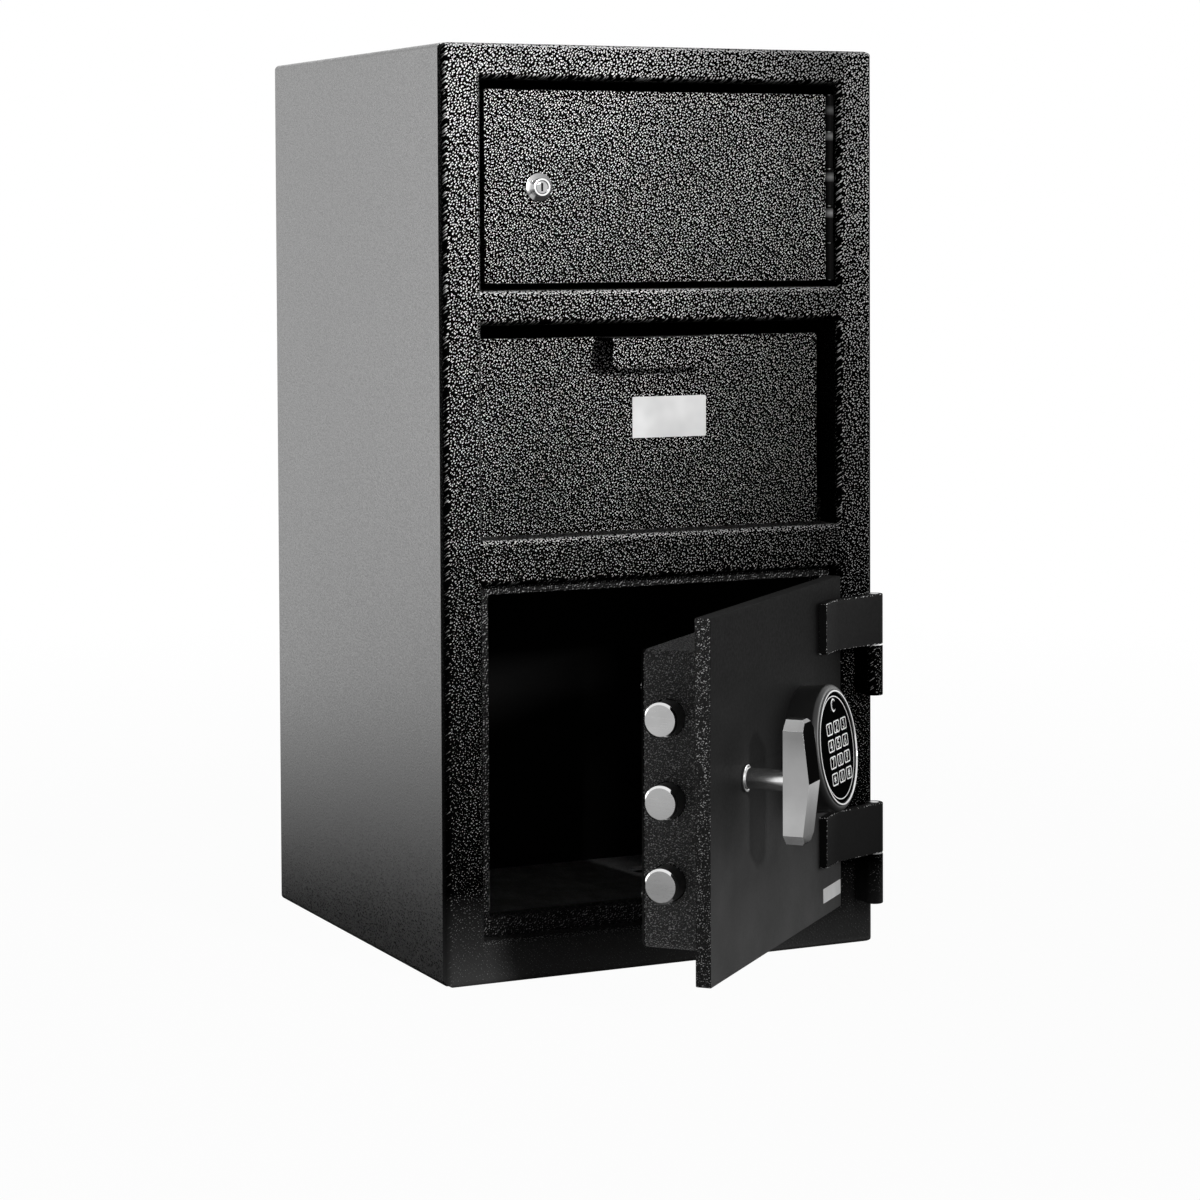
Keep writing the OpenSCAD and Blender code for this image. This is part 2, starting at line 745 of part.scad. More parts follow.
module handle_shaft() {
    socket = 6;
    color(chrome) on_safe_door()
        rod_y(handle_x, handle_z, shaft_d / 2, face_y - shaft_out - socket, crank_y + crank_t);
}

// T grip: crowned along its length, with softened corners
module handle_grip() {
    back = face_y - shaft_out;
    half = grip_len / 2;
    bevel = 2;
    socket = 6;
    side = [[back, handle_z - half], [back, handle_z + half],
        [back - grip_end_d + bevel, handle_z + half], [back - grip_end_d, handle_z + half - bevel],
        [back - grip_end_d - grip_crown, handle_z],
        [back - grip_end_d, handle_z - half + bevel], [back - grip_end_d + bevel, handle_z - half]];
    color(chrome) on_safe_door() difference() {
        intersection() {
            along_x(handle_x - grip_w / 2, handle_x + grip_w / 2) polygon(side);
            along_y(back - grip_end_d - grip_crown - over, back + over)
                polygon(cut_rect([handle_x - grip_w / 2, handle_z - half],
                    [handle_x + grip_w / 2, handle_z + half], grip_corner));
        }
        rod_y(handle_x, handle_z, shaft_d / 2, back - socket, back + over);
    }
}

// Crank on the shaft's inner end, with the pin that drives the carriage
module crank_arm() {
    color(zinc) on_safe_door() difference() {
        union() {
            rod_y(handle_x, handle_z, crank_hub_r, crank_y, crank_y + crank_t);
            rod_y(crank_pin_x, crank_pin_z, crank_eye_r, crank_y, crank_y + crank_t);
            translate([handle_x, 0, handle_z]) rotate([0, crank_swing, 0])
                box([1 - crank_eye_r, crank_y, 0], [crank_eye_r - 1, crank_y + crank_t, crank_r]);
            rod_y(crank_pin_x, crank_pin_z, crank_pin_d / 2, crank_y, web_y + carriage_t + 3);
        }
        rod_y(handle_x, handle_z, shaft_d / 2, crank_y - over, crank_y + crank_t + over);
    }
}

// Carriage: a web with the crank's slot and the guide slots, a flange for the bolts, and
// an arm whose tooth the lock's bolt stops
module bolt_carriage() {
    pin_gap = crank_pin_d / 2 + slot_clear;
    stud_gap = stud_d / 2 + slot_clear;
    color(zinc) on_safe_door() difference() {
        union() {
            box([bolt_end_x, web_y, web_z0], [web_x1, web_y + carriage_t, web_z1]);
            box([bolt_end_x, web_y, web_z0], [bolt_end_x + carriage_t, bolt_y + bolt_d / 2, web_z1]);
            box([bolt_end_x, web_y, tooth_z - arm_h],
                [tooth_x + tooth_w + 8, web_y + carriage_t, tooth_z]);
            box([tooth_x, web_y, tooth_z], [tooth_x + tooth_w, web_y + carriage_t, tooth_z + lock_throw]);
        }
        box([crank_pin_x - pin_gap, web_y - over, crank_pin_z - pin_gap],
            [crank_pin_x + pin_gap, web_y + carriage_t + over, handle_z + crank_r + pin_gap]);
        for (z = stud_z)
            box([stud_x - stud_gap, web_y - over, z - stud_gap],
                [stud_x + bolt_throw + stud_gap, web_y + carriage_t + over, z + stud_gap]);
    }
}

module locking_bolts() {
    color(bright_steel) on_safe_door() for (z = bolt_z)
        translate([bolt_tip_x, bolt_y, z]) rotate([0, 90, 0]) {
            cylinder(r1 = bolt_d / 2 - bolt_chamfer, r2 = bolt_d / 2, h = bolt_chamfer);
            translate([0, 0, bolt_chamfer])
                cylinder(d = bolt_d, h = bolt_end_x - bolt_tip_x - bolt_chamfer);
        }
}

module carriage_studs() {
    head_y = web_y + carriage_t + 0.6;
    color(zinc) on_safe_door() for (z = stud_z) {
        rod_y(stud_x, z, stud_d / 2, plate_back_y, head_y);
        rod_y(stud_x, z, stud_head_d / 2, head_y, head_y + 2.5);
    }
}

module lock_case() {
    y1 = plate_back_y + lock_case_d;
    color(zinc) on_safe_door() difference() {
        box([keypad_x - lock_case_w / 2, plate_back_y, lock_case_z],
            [keypad_x + lock_case_w / 2, y1, lock_case_z + lock_case_h]);
        box([lock_bolt_x - run_clear, web_y - 2 - run_clear, lock_case_z - over],
            [lock_bolt_x + lock_bolt_w + run_clear, web_y - 2 + lock_bolt_d + run_clear,
                lock_case_z + lock_bolt_len + 2]);
    }
}

module lock_bolt() {
    color(bright_steel) on_safe_door()
        box([lock_bolt_x, web_y - 2, lock_case_z - lock_bolt_out],
            [lock_bolt_x + lock_bolt_w, web_y - 2 + lock_bolt_d, lock_case_z + lock_bolt_len]);
}

// Housing: a round body cut on the slope by the door's face, with a well for the keys
module keypad_housing() {
    side = keypad_r - keypad_edge_r;
    color(plastic) difference() {
        on_keypad() rotate_extrude($fn = 96) polygon(concat(
            [[0, -keypad_r / 2], [keypad_r, -keypad_r / 2]],
            arc([side, keypad_h - keypad_edge_r], keypad_edge_r, 0, 90),
            [[ring_ro, keypad_h], [ring_ro, keypad_h - 2], [ring_ri, keypad_h - 2],
                [ring_ri, face_top - face_t], [ring_ri - 2, face_top - face_t],
                [ring_ri - 2, key_floor], [0, key_floor]]));
        on_safe_door() box([keypad_x - keypad_d, face_y, keypad_z - keypad_d],
            [keypad_x + keypad_d, face_y + keypad_d, keypad_z + keypad_d]);
    }
}

module keypad_ring() {
    color(chrome) on_keypad() rotate_extrude($fn = 96) polygon([
        [ring_ri, keypad_h - 2], [ring_ro, keypad_h - 2], [ring_ro, keypad_h + 0.3],
        [ring_ro - 0.8, keypad_h + 1], [ring_ri + 0.5, keypad_h + 1], [ring_ri, keypad_h + 0.3]]);
}

// Middle of key i on the face, in rows of three
function key_place(i) = [(i % 3 - 1) * key_pitch_x, key_rows_mid + (1.5 - floor(i / 3)) * key_pitch_y];

// Outline of a key, grown by gap
module key_outline(gap) {
    half = [key_w / 2 + gap, key_h / 2 + gap];
    polygon(round_rect(-half, half, 2 + gap));
}

module keypad_face() {
    color(plastic) on_keypad() translate([0, 0, face_top - face_t]) difference() {
        cylinder(r = ring_ri, h = face_t);
        for (i = [0:11])
            translate([key_place(i).x, key_place(i).y, -over])
                linear_extrude(face_t + 2 * over) key_outline(key_gap);
        translate([0, lamp_v, -over]) cylinder(d = lamp_d, h = face_t + 2 * over, $fn = 32);
    }
}

module keypad_lamp() {
    color(chrome) on_keypad() translate([0, lamp_v, face_top - face_t]) {
        cylinder(d = lamp_d, h = face_t + 0.8, $fn = 32);
        cylinder(d = lamp_d - 3, h = face_t + 1.4, $fn = 32);
    }
}

module keypad_membrane() {
    color(key_rubber) on_keypad() translate([0, 0, key_floor])
        cylinder(r = ring_ri - 2, h = 1.2);
}

module keypad_key(i) {
    color(key_rubber) on_keypad() translate([key_place(i).x, key_place(i).y, key_foot]) {
        linear_extrude(key_top - key_foot - 0.5) key_outline(0);
        translate([0, 0, key_top - key_foot - 0.5]) linear_extrude(0.5) key_outline(-0.5);
    }
}

module locker_door() {
    y1 = locker_face_y + locker_fold;
    color(coat) difference() {
        along_y(locker_face_y, y1)
            polygon(round_rect([locker_x0, locker_door_z0], [locker_x1, locker_door_z1], 1.5));
        box([locker_x0 + locker_t, locker_face_y + locker_t, locker_door_z0 + locker_t],
            [locker_x1 - locker_t, y1 + over, locker_door_z1 - locker_t]);
        rod_y(cam_x, cam_z, cam_barrel_d / 2, locker_face_y - over, y1);
    }
}

// Knuckles of the long hinge whose number leaves first after division by two
module piano_knuckles_of(first) {
    for (i = [first:2:piano_knuckles - 1])
        translate([0, 0, locker_door_z0 + i * knuckle_pitch + knuckle_gap / 2])
            linear_extrude(knuckle_pitch - knuckle_gap) children();
}

module locker_frame_leaf() {
    top_x = jamb_x - piano_axis.x;
    color(coat) difference() {
        union() {
            piano_knuckles_of(0) translate(piano_axis) {
                circle(d = piano_d);
                translate([top_x - piano_leaf_t, 0]) square([piano_leaf_t, leaf_start]);
                square([top_x, piano_d / 2]);
            }
            box([jamb_x - piano_leaf_t, piano_axis.y + leaf_start, locker_door_z0],
                [jamb_x, piano_axis.y + frame_leaf_w, locker_door_z1]);
        }
        translate([piano_axis.x, piano_axis.y, locker_door_z0 - over])
            cylinder(d = piano_pin_d, h = locker_door_z1 - locker_door_z0 + 2 * over);
    }
}

module locker_door_leaf() {
    edge_x = locker_x1 - piano_axis.x;
    color(coat) difference() {
        union() {
            piano_knuckles_of(1) translate(piano_axis) {
                circle(d = piano_d);
                translate([edge_x, 0]) square([piano_leaf_t, leaf_start]);
                translate([edge_x, 0]) square([-edge_x, piano_d / 2]);
            }
            box([locker_x1, piano_axis.y + leaf_start, locker_door_z0],
                [locker_x1 + piano_leaf_t, locker_face_y + door_leaf_w, locker_door_z1]);
        }
        translate([piano_axis.x, piano_axis.y, locker_door_z0 - over])
            cylinder(r = piano_pin_d / 2 + run_clear, h = locker_door_z1 - locker_door_z0 + 2 * over);
    }
}

module locker_hinge_pin() {
    color(bright_steel) translate([piano_axis.x, piano_axis.y, locker_door_z0])
        cylinder(d = piano_pin_d, h = locker_door_z1 - locker_door_z0);
}

module cam_lock_case() {
    color(chrome) difference() {
        union() {
            rod_y(cam_x, cam_z, cam_flange_d / 2, locker_face_y - flange_t, locker_face_y);
            rod_y(cam_x, cam_z, cam_plug_d / 2 + 2, locker_face_y - cam_lock_out, locker_face_y - flange_t);
            rod_y(cam_x, cam_z, cam_barrel_d / 2, locker_face_y, cam_y - 0.4);
        }
        rod_y(cam_x, cam_z, cam_plug_d / 2 + run_clear, locker_face_y - cam_lock_out - over, cam_y);
    }
}

module cam_lock_nut() {
    y0 = locker_face_y + locker_t;
    color(zinc) difference() {
        translate([cam_x, y0, cam_z]) rotate([-90, 0, 0]) cylinder(d = nut_d, h = nut_t, $fn = 6);
        rod_y(cam_x, cam_z, cam_barrel_d / 2, y0 - over, y0 + nut_t + over);
    }
}

// Turning plug with its keyway, and the neck that carries the cam
module cam_lock_plug() {
    front = locker_face_y - cam_lock_out;
    color(chrome) difference() {
        union() {
            rod_y(cam_x, cam_z, cam_plug_d / 2, front + 0.4, cam_y);
            rod_y(cam_x, cam_z, cam_plug_d / 2 - 1.5, cam_y, cam_y + cam_t + 1.5);
        }
        box([cam_x - 0.8, front - over, cam_z - 3], [cam_x + 0.8, front + 10, cam_z + 3]);
    }
}

// Cam, hanging down when unlocked
module cam_lock_cam() {
    color(zinc) difference() {
        along_y(cam_y, cam_y + cam_t) {
            translate([cam_x, cam_z]) circle(d = cam_w);
            translate([cam_x - cam_w / 2, cam_z - cam_reach + 2]) square([cam_w, cam_reach - 2]);
            translate([cam_x - cam_w / 2 + 2, cam_z - cam_reach]) square([cam_w - 4, cam_reach]);
        }
        rod_y(cam_x, cam_z, cam_plug_d / 2 - 1.5, cam_y - over, cam_y + cam_t + over);
    }
}

// Hopper's front, with a lip folded forwards and down along its top edge
module hopper_panel() {
    lip_y = hopper_face_y - lip_out;
    lip_x0 = lip_shift - lip_w / 2;
    lip_x1 = lip_shift + lip_w / 2;
    lip_z0 = panel_z1 - lip_h;
    color(coat) union() {
        box([-hopper_x, hopper_face_y, panel_z0], [hopper_x, hopper_face_y + hopper_t, panel_z1]);
        box([lip_x0, lip_y, panel_z1 - hopper_t], [lip_x1, hopper_face_y + hopper_t / 2, panel_z1]);
        along_y(lip_y, lip_y + hopper_t) polygon(concat(
            [[lip_x1, panel_z1], [lip_x0, panel_z1]],
            arc([lip_x0 + lip_r, lip_z0 + lip_r], lip_r, 180, 270),
            arc([lip_x1 - lip_r, lip_z0 + lip_r], lip_r, 270, 360)));
    }
}

// Side plates of the hopper: their curved edge goes from the panel's top to the tray's end
module hopper_cheeks() {
    steps = 12;
    sweep = 90 + tray_slope;
    edge = [for (i = [0:steps]) let (a = -tray_slope + sweep * i / steps,
        r = tray_len + (panel_reach - tray_len) * i / steps) hopper_axis + r * [cos(a), sin(a)]];
    back = hopper_face_y + hopper_t;
    outline = concat([hopper_axis - [0, cheek_foot]], edge,
        [[back, hopper_axis.y + panel_reach], [back, hopper_axis.y - cheek_foot]]);
    color(coat) for (side = [0, 1])
        mirror([side, 0, 0]) difference() {
            along_x(hopper_x - hopper_t, hopper_x) polygon(outline);
            rod_x(hopper_axis.x, hopper_axis.y, hopper_rod_d / 2, hopper_x - hopper_t - over, hopper_x + over);
        }
}

// Tray between the cheeks, which slopes down to the back while the hopper is shut
module hopper_tray() {
    start = hopper_rod_d / 2 + 1;
    wide = hopper_x - hopper_t;
    color(coat) translate([0, hopper_axis.x, hopper_axis.y]) rotate([-tray_slope, 0, 0]) {
        box([-wide, start, 0], [wide, tray_len, hopper_t]);
        box([-wide, tray_len - hopper_t, 0], [wide, tray_len, 14]);
    }
}

module hopper_rod() {
    reach = jamb_x + frame_t + 1;
    color(bright_steel) rod_x(hopper_axis.x, hopper_axis.y, hopper_rod_d / 2, -reach, reach);
}

body_shell();
front_frame();
jamb_ring();
locker_floor();
anti_fish_baffle();
floor_mat();
hopper_ears();
upper_frame_hinge();
lower_frame_hinge();
hinge_pins();
hinge_washers();
locker_frame_leaf();
locker_hinge_pin();
safe_door_plate();
door_pan();
door_back_cover();
cover_screws();
upper_door_hinge();
lower_door_hinge();
handle_bush();
carriage_studs();
lock_case();
keypad_housing();
keypad_ring();
keypad_face();
keypad_lamp();
keypad_membrane();
handle_shaft();
handle_grip();
crank_arm();
bolt_carriage();
locking_bolts();
lock_bolt();
for (i = [0:11])
    keypad_key(i);
locker_door();
locker_door_leaf();
cam_lock_case();
cam_lock_nut();
cam_lock_plug();
cam_lock_cam();
hopper_panel();
hopper_cheeks();
hopper_tray();
hopper_rod();
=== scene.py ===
import bpy
import json
import math
from mathutils import Matrix, Vector


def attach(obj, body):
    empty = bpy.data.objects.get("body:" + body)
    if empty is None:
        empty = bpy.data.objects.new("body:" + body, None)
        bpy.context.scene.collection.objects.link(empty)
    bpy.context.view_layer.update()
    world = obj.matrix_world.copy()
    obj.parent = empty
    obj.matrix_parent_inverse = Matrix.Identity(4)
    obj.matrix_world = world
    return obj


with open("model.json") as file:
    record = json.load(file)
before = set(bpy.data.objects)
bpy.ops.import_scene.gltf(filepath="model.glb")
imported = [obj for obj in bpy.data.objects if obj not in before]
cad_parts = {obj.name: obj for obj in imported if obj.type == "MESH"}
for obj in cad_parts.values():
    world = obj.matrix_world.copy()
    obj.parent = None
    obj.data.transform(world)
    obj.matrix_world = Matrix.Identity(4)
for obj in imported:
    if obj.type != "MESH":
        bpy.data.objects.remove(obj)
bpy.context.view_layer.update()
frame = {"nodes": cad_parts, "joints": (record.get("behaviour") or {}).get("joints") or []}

# Places in millimetres of the shut safe, x right, y back, z up
MM = 0.001
DOOR_FACE_Y = -176.8
HOPPER_FACE_Y = -149.3
KEYPAD = Vector((50.0, DOOR_FACE_Y, 169.0))
KEYPAD_SLOPE = math.radians(7.0)
HOPPER_LABEL_AT = Vector((17.5, HOPPER_FACE_Y, 409.5))
DOOR_LABEL_AT = Vector((121.0, DOOR_FACE_Y, 51.0))

# Places from the frame's joints. The low limit of the door's swing is the shut door
JOINTS = {joint["name"]: joint for joint in frame["joints"]}
SWING = JOINTS["safe_door_swing"]
HINGE = Vector([place / MM for place in SWING["pos_m"]])
OPEN = -math.radians(SWING["range_deg"][0])
SHAFT_Z_M = JOINTS["handle_turn"]["pos_m"][2]
LOCK_X_M, _, LOCK_Z_M = JOINTS["cam_turn"]["pos_m"]

# Directions of the open safe door: out of its front, and along it to its hinges
DOOR_OUT = Vector((math.sin(OPEN), -math.cos(OPEN), 0.0))
DOOR_TO_HINGE = Vector((math.cos(OPEN), math.sin(OPEN), 0.0))


def door_matrix():
    """Takes shut door millimetres to metres where the door stands open."""
    turn = Matrix.Translation(HINGE) @ Matrix.Rotation(OPEN, 4, "Z") @ Matrix.Translation(-HINGE)
    return Matrix.Scale(MM, 4) @ turn


def keypad_matrix():
    """Keypad's own place in millimetres: z out of the sloping face, y up it."""
    return door_matrix() @ Matrix.Translation(KEYPAD) @ Matrix.Rotation(math.pi / 2 - KEYPAD_SLOPE, 4, "X")


# Building blocks of the materials
def new_material(name):
    m = bpy.data.materials.new(name)
    m.use_nodes = True
    nt = m.node_tree
    return m, nt, nt.nodes["Principled BSDF"]


def node(nt, kind, **props):
    n = nt.nodes.new(kind)
    for k, v in props.items():
        setattr(n, k, v)
    return n


def object_coords(nt, scale=(1.0, 1.0, 1.0)):
    place = node(nt, "ShaderNodeTexCoord")
    mapping = node(nt, "ShaderNodeMapping")
    mapping.inputs["Scale"].default_value = scale
    nt.links.new(place.outputs["Object"], mapping.inputs["Vector"])
    return mapping.outputs["Vector"]


def split(nt, vec):
    """The X, Y and Z of a vector, by name."""
    parts = node(nt, "ShaderNodeSeparateXYZ")
    nt.links.new(vec, parts.inputs[0])
    return parts.outputs


def noise(nt, vec, scale, detail=2.0, rough=0.5):
    n = node(nt, "ShaderNodeTexNoise")
    n.inputs["Scale"].default_value = scale
    n.inputs["Detail"].default_value = detail
    n.inputs["Roughness"].default_value = rough
    nt.links.new(vec, n.inputs["Vector"])
    return n.outputs["Fac"]


def ramp(nt, fac, stops):
    """Grey ramp from pairs of place, 0 to 1, and value."""
    r = node(nt, "ShaderNodeValToRGB")
    elements = r.color_ramp.elements
    while len(elements) < len(stops):
        elements.new(0.5)
    for element, (place, value) in zip(elements, stops):
        element.position = place
        element.color = (value, value, value, 1.0)
    nt.links.new(fac, r.inputs["Fac"])
    return r.outputs["Color"]


def math_node(nt, op, a, b):
    m = node(nt, "ShaderNodeMath", operation=op)
    for i, v in enumerate((a, b)):
        if isinstance(v, (int, float)):
            m.inputs[i].default_value = v
        else:
            nt.links.new(v, m.inputs[i])
    return m.outputs[0]


def plus(nt, a, b):
    return math_node(nt, "ADD", a, b)


def minus(nt, a, b):
    return math_node(nt, "SUBTRACT", a, b)


def times(nt, a, b):
    return math_node(nt, "MULTIPLY", a, b)


def larger(nt, a, b):
    return math_node(nt, "MAXIMUM", a, b)


def mix_colors(nt, kind, a, b):
    """Two colours joined at full strength, by MULTIPLY or ADD."""
    mix = node(nt, "ShaderNodeMix", data_type="RGBA", blend_type=kind)
    mix.inputs["Factor"].default_value = 1.0
    nt.links.new(a, mix.inputs["A"])
    nt.links.new(b, mix.inputs["B"])
    return mix.outputs["Result"]


def bump(nt, height, strength, distance):
    b = node(nt, "ShaderNodeBump")
    b.inputs["Strength"].default_value = strength
    b.inputs["Distance"].default_value = distance
    nt.links.new(height, b.inputs["Height"])
    return b.outputs["Normal"]


def height_ramp(nt, vec, stops):
    """Ramp along z of the coordinates, its stops in metres."""
    return ramp(nt, split(nt, vec)["Z"], stops)


def width_ramp(nt, x, stops):
    """Ramp along x, whose stops may lie left of the middle. A ramp starts at 0, so both move right."""
    middle = 0.5
    return ramp(nt, plus(nt, x, middle), [(middle + place, value) for place, value in stops])


def by_height(nt, tone, vec, painted_light_by_height):
    """A tone times its painted light ramp along height, where it has one."""
    return times(nt, tone, height_ramp(nt, vec, painted_light_by_height)) if painted_light_by_height else tone


def broad_tone(nt, vec):
    """Slow unevenness of a powder coat."""
    return ramp(nt, noise(nt, vec, 9.0), [(0.3, 0.85), (0.7, 1.15)])


# Grain of the powder coat, a value that is highest on the pale specks, which are painted glints
def slope_grain(nt, vec, scale):
    """Noise less the same noise a step down to the right, which reads as small ridges lit from one side."""
    step = node(nt, "ShaderNodeVectorMath", operation="ADD")
    nt.links.new(vec, step.inputs[0])
    step.inputs[1].default_value = (0.42 / scale, 0.2 / scale, -0.42 / scale)
    here = noise(nt, vec, scale, detail=0.0)
    there = noise(nt, step.outputs["Vector"], scale, detail=0.0)
    return plus(nt, minus(nt, here, there), 0.5)


def cell_grain(nt, at, scale):
    """Cores of random cells on the front, drawn out along the diagonal that rises to the right."""
    along = 0.5
    over = 0.707
    scatter = 0.9
    core = 0.82
    luck_share = 0.14
    rise = times(nt, plus(nt, at["X"], at["Z"]), along)
    flat = node(nt, "ShaderNodeCombineXYZ")
    nt.links.new(plus(nt, rise, at["Y"]), flat.inputs["X"])
    nt.links.new(times(nt, minus(nt, at["X"], at["Z"]), over), flat.inputs["Y"])
    cells = node(nt, "ShaderNodeTexVoronoi", voronoi_dimensions="2D", feature="F1")
    nt.links.new(flat.outputs["Vector"], cells.inputs["Vector"])
    cells.inputs["Scale"].default_value = scale
    cells.inputs["Randomness"].default_value = scatter
    luck = node(nt, "ShaderNodeSeparateColor")
    nt.links.new(cells.outputs["Color"], luck.inputs[0])
    return plus(nt, minus(nt, core, cells.outputs["Distance"]), times(nt, luck.outputs[0], luck_share))


# Materials, each from one of these kinds
def finish_coat(nt, p, shade, fine, rough, spec, strength):
    nt.links.new(shade, p.inputs["Base Color"])
    nt.links.new(ramp(nt, fine, [(0.35, rough + 0.15), (0.68, rough - 0.1)]), p.inputs["Roughness"])
    p.inputs["Specular IOR Level"].default_value = spec
    nt.links.new(bump(nt, fine, strength, 0.0005), p.inputs["Normal"])


def wrinkle_coat(name, stops, scale, spec=0.02, strength=0.3, rough=0.5, coat=0.0, painted_light_by_height=None):
    """Black powder coat away from the front, whose pale specks are painted glints. painted_light_by_height
    is a painted light tone by height.
    """
    m, nt, p = new_material(name)
    vec = object_coords(nt)
    fine = slope_grain(nt, vec, scale)
    tone = by_height(nt, broad_tone(nt, vec), vec, painted_light_by_height)
    finish_coat(nt, p, mix_colors(nt, "MULTIPLY", ramp(nt, fine, stops), tone), fine, rough, spec, strength)
    p.inputs["Coat Weight"].default_value = coat
    p.inputs["Coat Roughness"].default_value = 0.25
    return m


def front_coat(name, stops, scale, painted_light_across, painted_light_by_height=None):
    """Black powder coat of the front, its glints painted as pale specks about 2 mm apart over black.

    The painted glints grow with height and on faces that look up. Faces that don't look forward get painted
    shade, and the lowest strip a painted pale sheen. painted_light_across and painted_light_by_height are
    painted light tones across and by height.
    """
    m, nt, p = new_material(name)
    vec = object_coords(nt)
    at = split(nt, vec)
    turn = split(nt, node(nt, "ShaderNodeTexCoord").outputs["Normal"])
    fine = cell_grain(nt, at, scale)
    # Painted light: the glints grow with height and on faces that look up
    painted_glints_by_height = minus(nt, times(nt, at["Z"], 0.295), 0.152)
    painted_glints_facing_up = ramp(nt, turn["Z"], [(0.15, 0.0), (0.6, 0.16)])
    painted_glint_amount = plus(nt, plus(nt, fine, painted_glints_by_height), painted_glints_facing_up)
    # Painted light tones by height and across
    tone = by_height(nt, broad_tone(nt, vec), vec, painted_light_by_height)
    tone = times(nt, tone, width_ramp(nt, at["X"], painted_light_across))
    # Painted shade on faces that turn from the front, and on the right half on faces that look right
    painted_shade_right_half = ramp(nt, at["X"], [(0.0, 0.0), (0.01, 0.3)])
    ahead = minus(nt, times(nt, turn["Z"], 0.55), turn["Y"])
    ahead = minus(nt, ahead, times(nt, turn["X"], painted_shade_right_half))
    tone = times(nt, tone, ramp(nt, ahead, [(0.3, 0.05), (0.7, 0.25), (0.96, 1.0)]))
    shade = mix_colors(nt, "MULTIPLY", ramp(nt, painted_glint_amount, stops), tone)
    # Painted pale sheen along the lowest strip
    painted_floor_sheen = height_ramp(nt, vec, [(0.0, 0.09), (0.03, 0.04), (0.07, 0.0)])
    finish_coat(nt, p, mix_colors(nt, "ADD", shade, painted_floor_sheen), fine, rough=0.5, spec=0.004, strength=0.3)
    return m


def smooth_coat(name, base, rough, spec, strength=0.12, painted_light_by_height=None):
    """Black powder coat without a wrinkle. painted_light_by_height is a painted light tone by height."""
    m, nt, p = new_material(name)
    vec = object_coords(nt)
    fine = noise(nt, vec, 420.0)
    broad = noise(nt, vec, 14.0, detail=3.0, rough=0.55)
    tone = ramp(nt, broad, [(0.25, base * 0.75), (0.75, base * 1.3)])
    nt.links.new(by_height(nt, tone, vec, painted_light_by_height), p.inputs["Base Color"])
    nt.links.new(ramp(nt, fine, [(0.3, rough + 0.08), (0.7, rough - 0.05)]), p.inputs["Roughness"])
    p.inputs["Specular IOR Level"].default_value = spec
    nt.links.new(bump(nt, fine, strength, 0.0004), p.inputs["Normal"])
    return m


def metal(name, base, rough, streak=(300.0, 300.0, 300.0), strength=0.02, scratch=0.03, painted_light_by_height=None):
    """Plated or turned metal. streak scales the noise along x, y, z, which draws turning marks.
    painted_light_by_height is a painted light tone by height.
    """
    m, nt, p = new_material(name)
    vec = object_coords(nt)
    fine = noise(nt, object_coords(nt, streak), 1.0, detail=3.0, rough=0.55)
    tone = ramp(nt, noise(nt, vec, 35.0), [(0.3, base * 0.9), (0.7, min(1.0, base * 1.06))])
    nt.links.new(by_height(nt, tone, vec, painted_light_by_height), p.inputs["Base Color"])
    roughness = ramp(nt, fine, [(0.3, max(0.02, rough - scratch)), (0.75, rough + scratch)])
    nt.links.new(roughness, p.inputs["Roughness"])
    p.inputs["Metallic"].default_value = 1.0
    nt.links.new(bump(nt, fine, strength, 0.0001), p.inputs["Normal"])
    return m


def plastic(name, base, rough, strength=0.12, spec=0.45):
    m, nt, p = new_material(name)
    vec = object_coords(nt)
    fine = noise(nt, vec, 900.0)
    tone = ramp(nt, noise(nt, vec, 30.0), [(0.3, base * 0.85), (0.7, base * 1.15)])
    nt.links.new(tone, p.inputs["Base Color"])
    nt.links.new(ramp(nt, fine, [(0.3, rough + 0.06), (0.7, rough - 0.04)]), p.inputs["Roughness"])
    p.inputs["Specular IOR Level"].default_value = spec
    nt.links.new(bump(nt, fine, strength, 0.0002), p.inputs["Normal"])
    return m


def fibre_mat(name):
    m, nt, p = new_material(name)
    vec = object_coords(nt)
    fine = noise(nt, vec, 900.0, detail=3.0, rough=0.6)
    broad = noise(nt, vec, 40.0, detail=3.0, rough=0.6)
    threads = ramp(nt, fine, [(0.3, 0.6), (0.7, 0.95)])
    wear = ramp(nt, broad, [(0.3, 0.8), (0.7, 1.1)])
    nt.links.new(mix_colors(nt, "MULTIPLY", threads, wear), p.inputs["Base Color"])
    p.inputs["Roughness"].default_value = 0.9
    p.inputs["Specular IOR Level"].default_value = 0.2
    nt.links.new(bump(nt, fine, 0.7, 0.0006), p.inputs["Normal"])
    return m


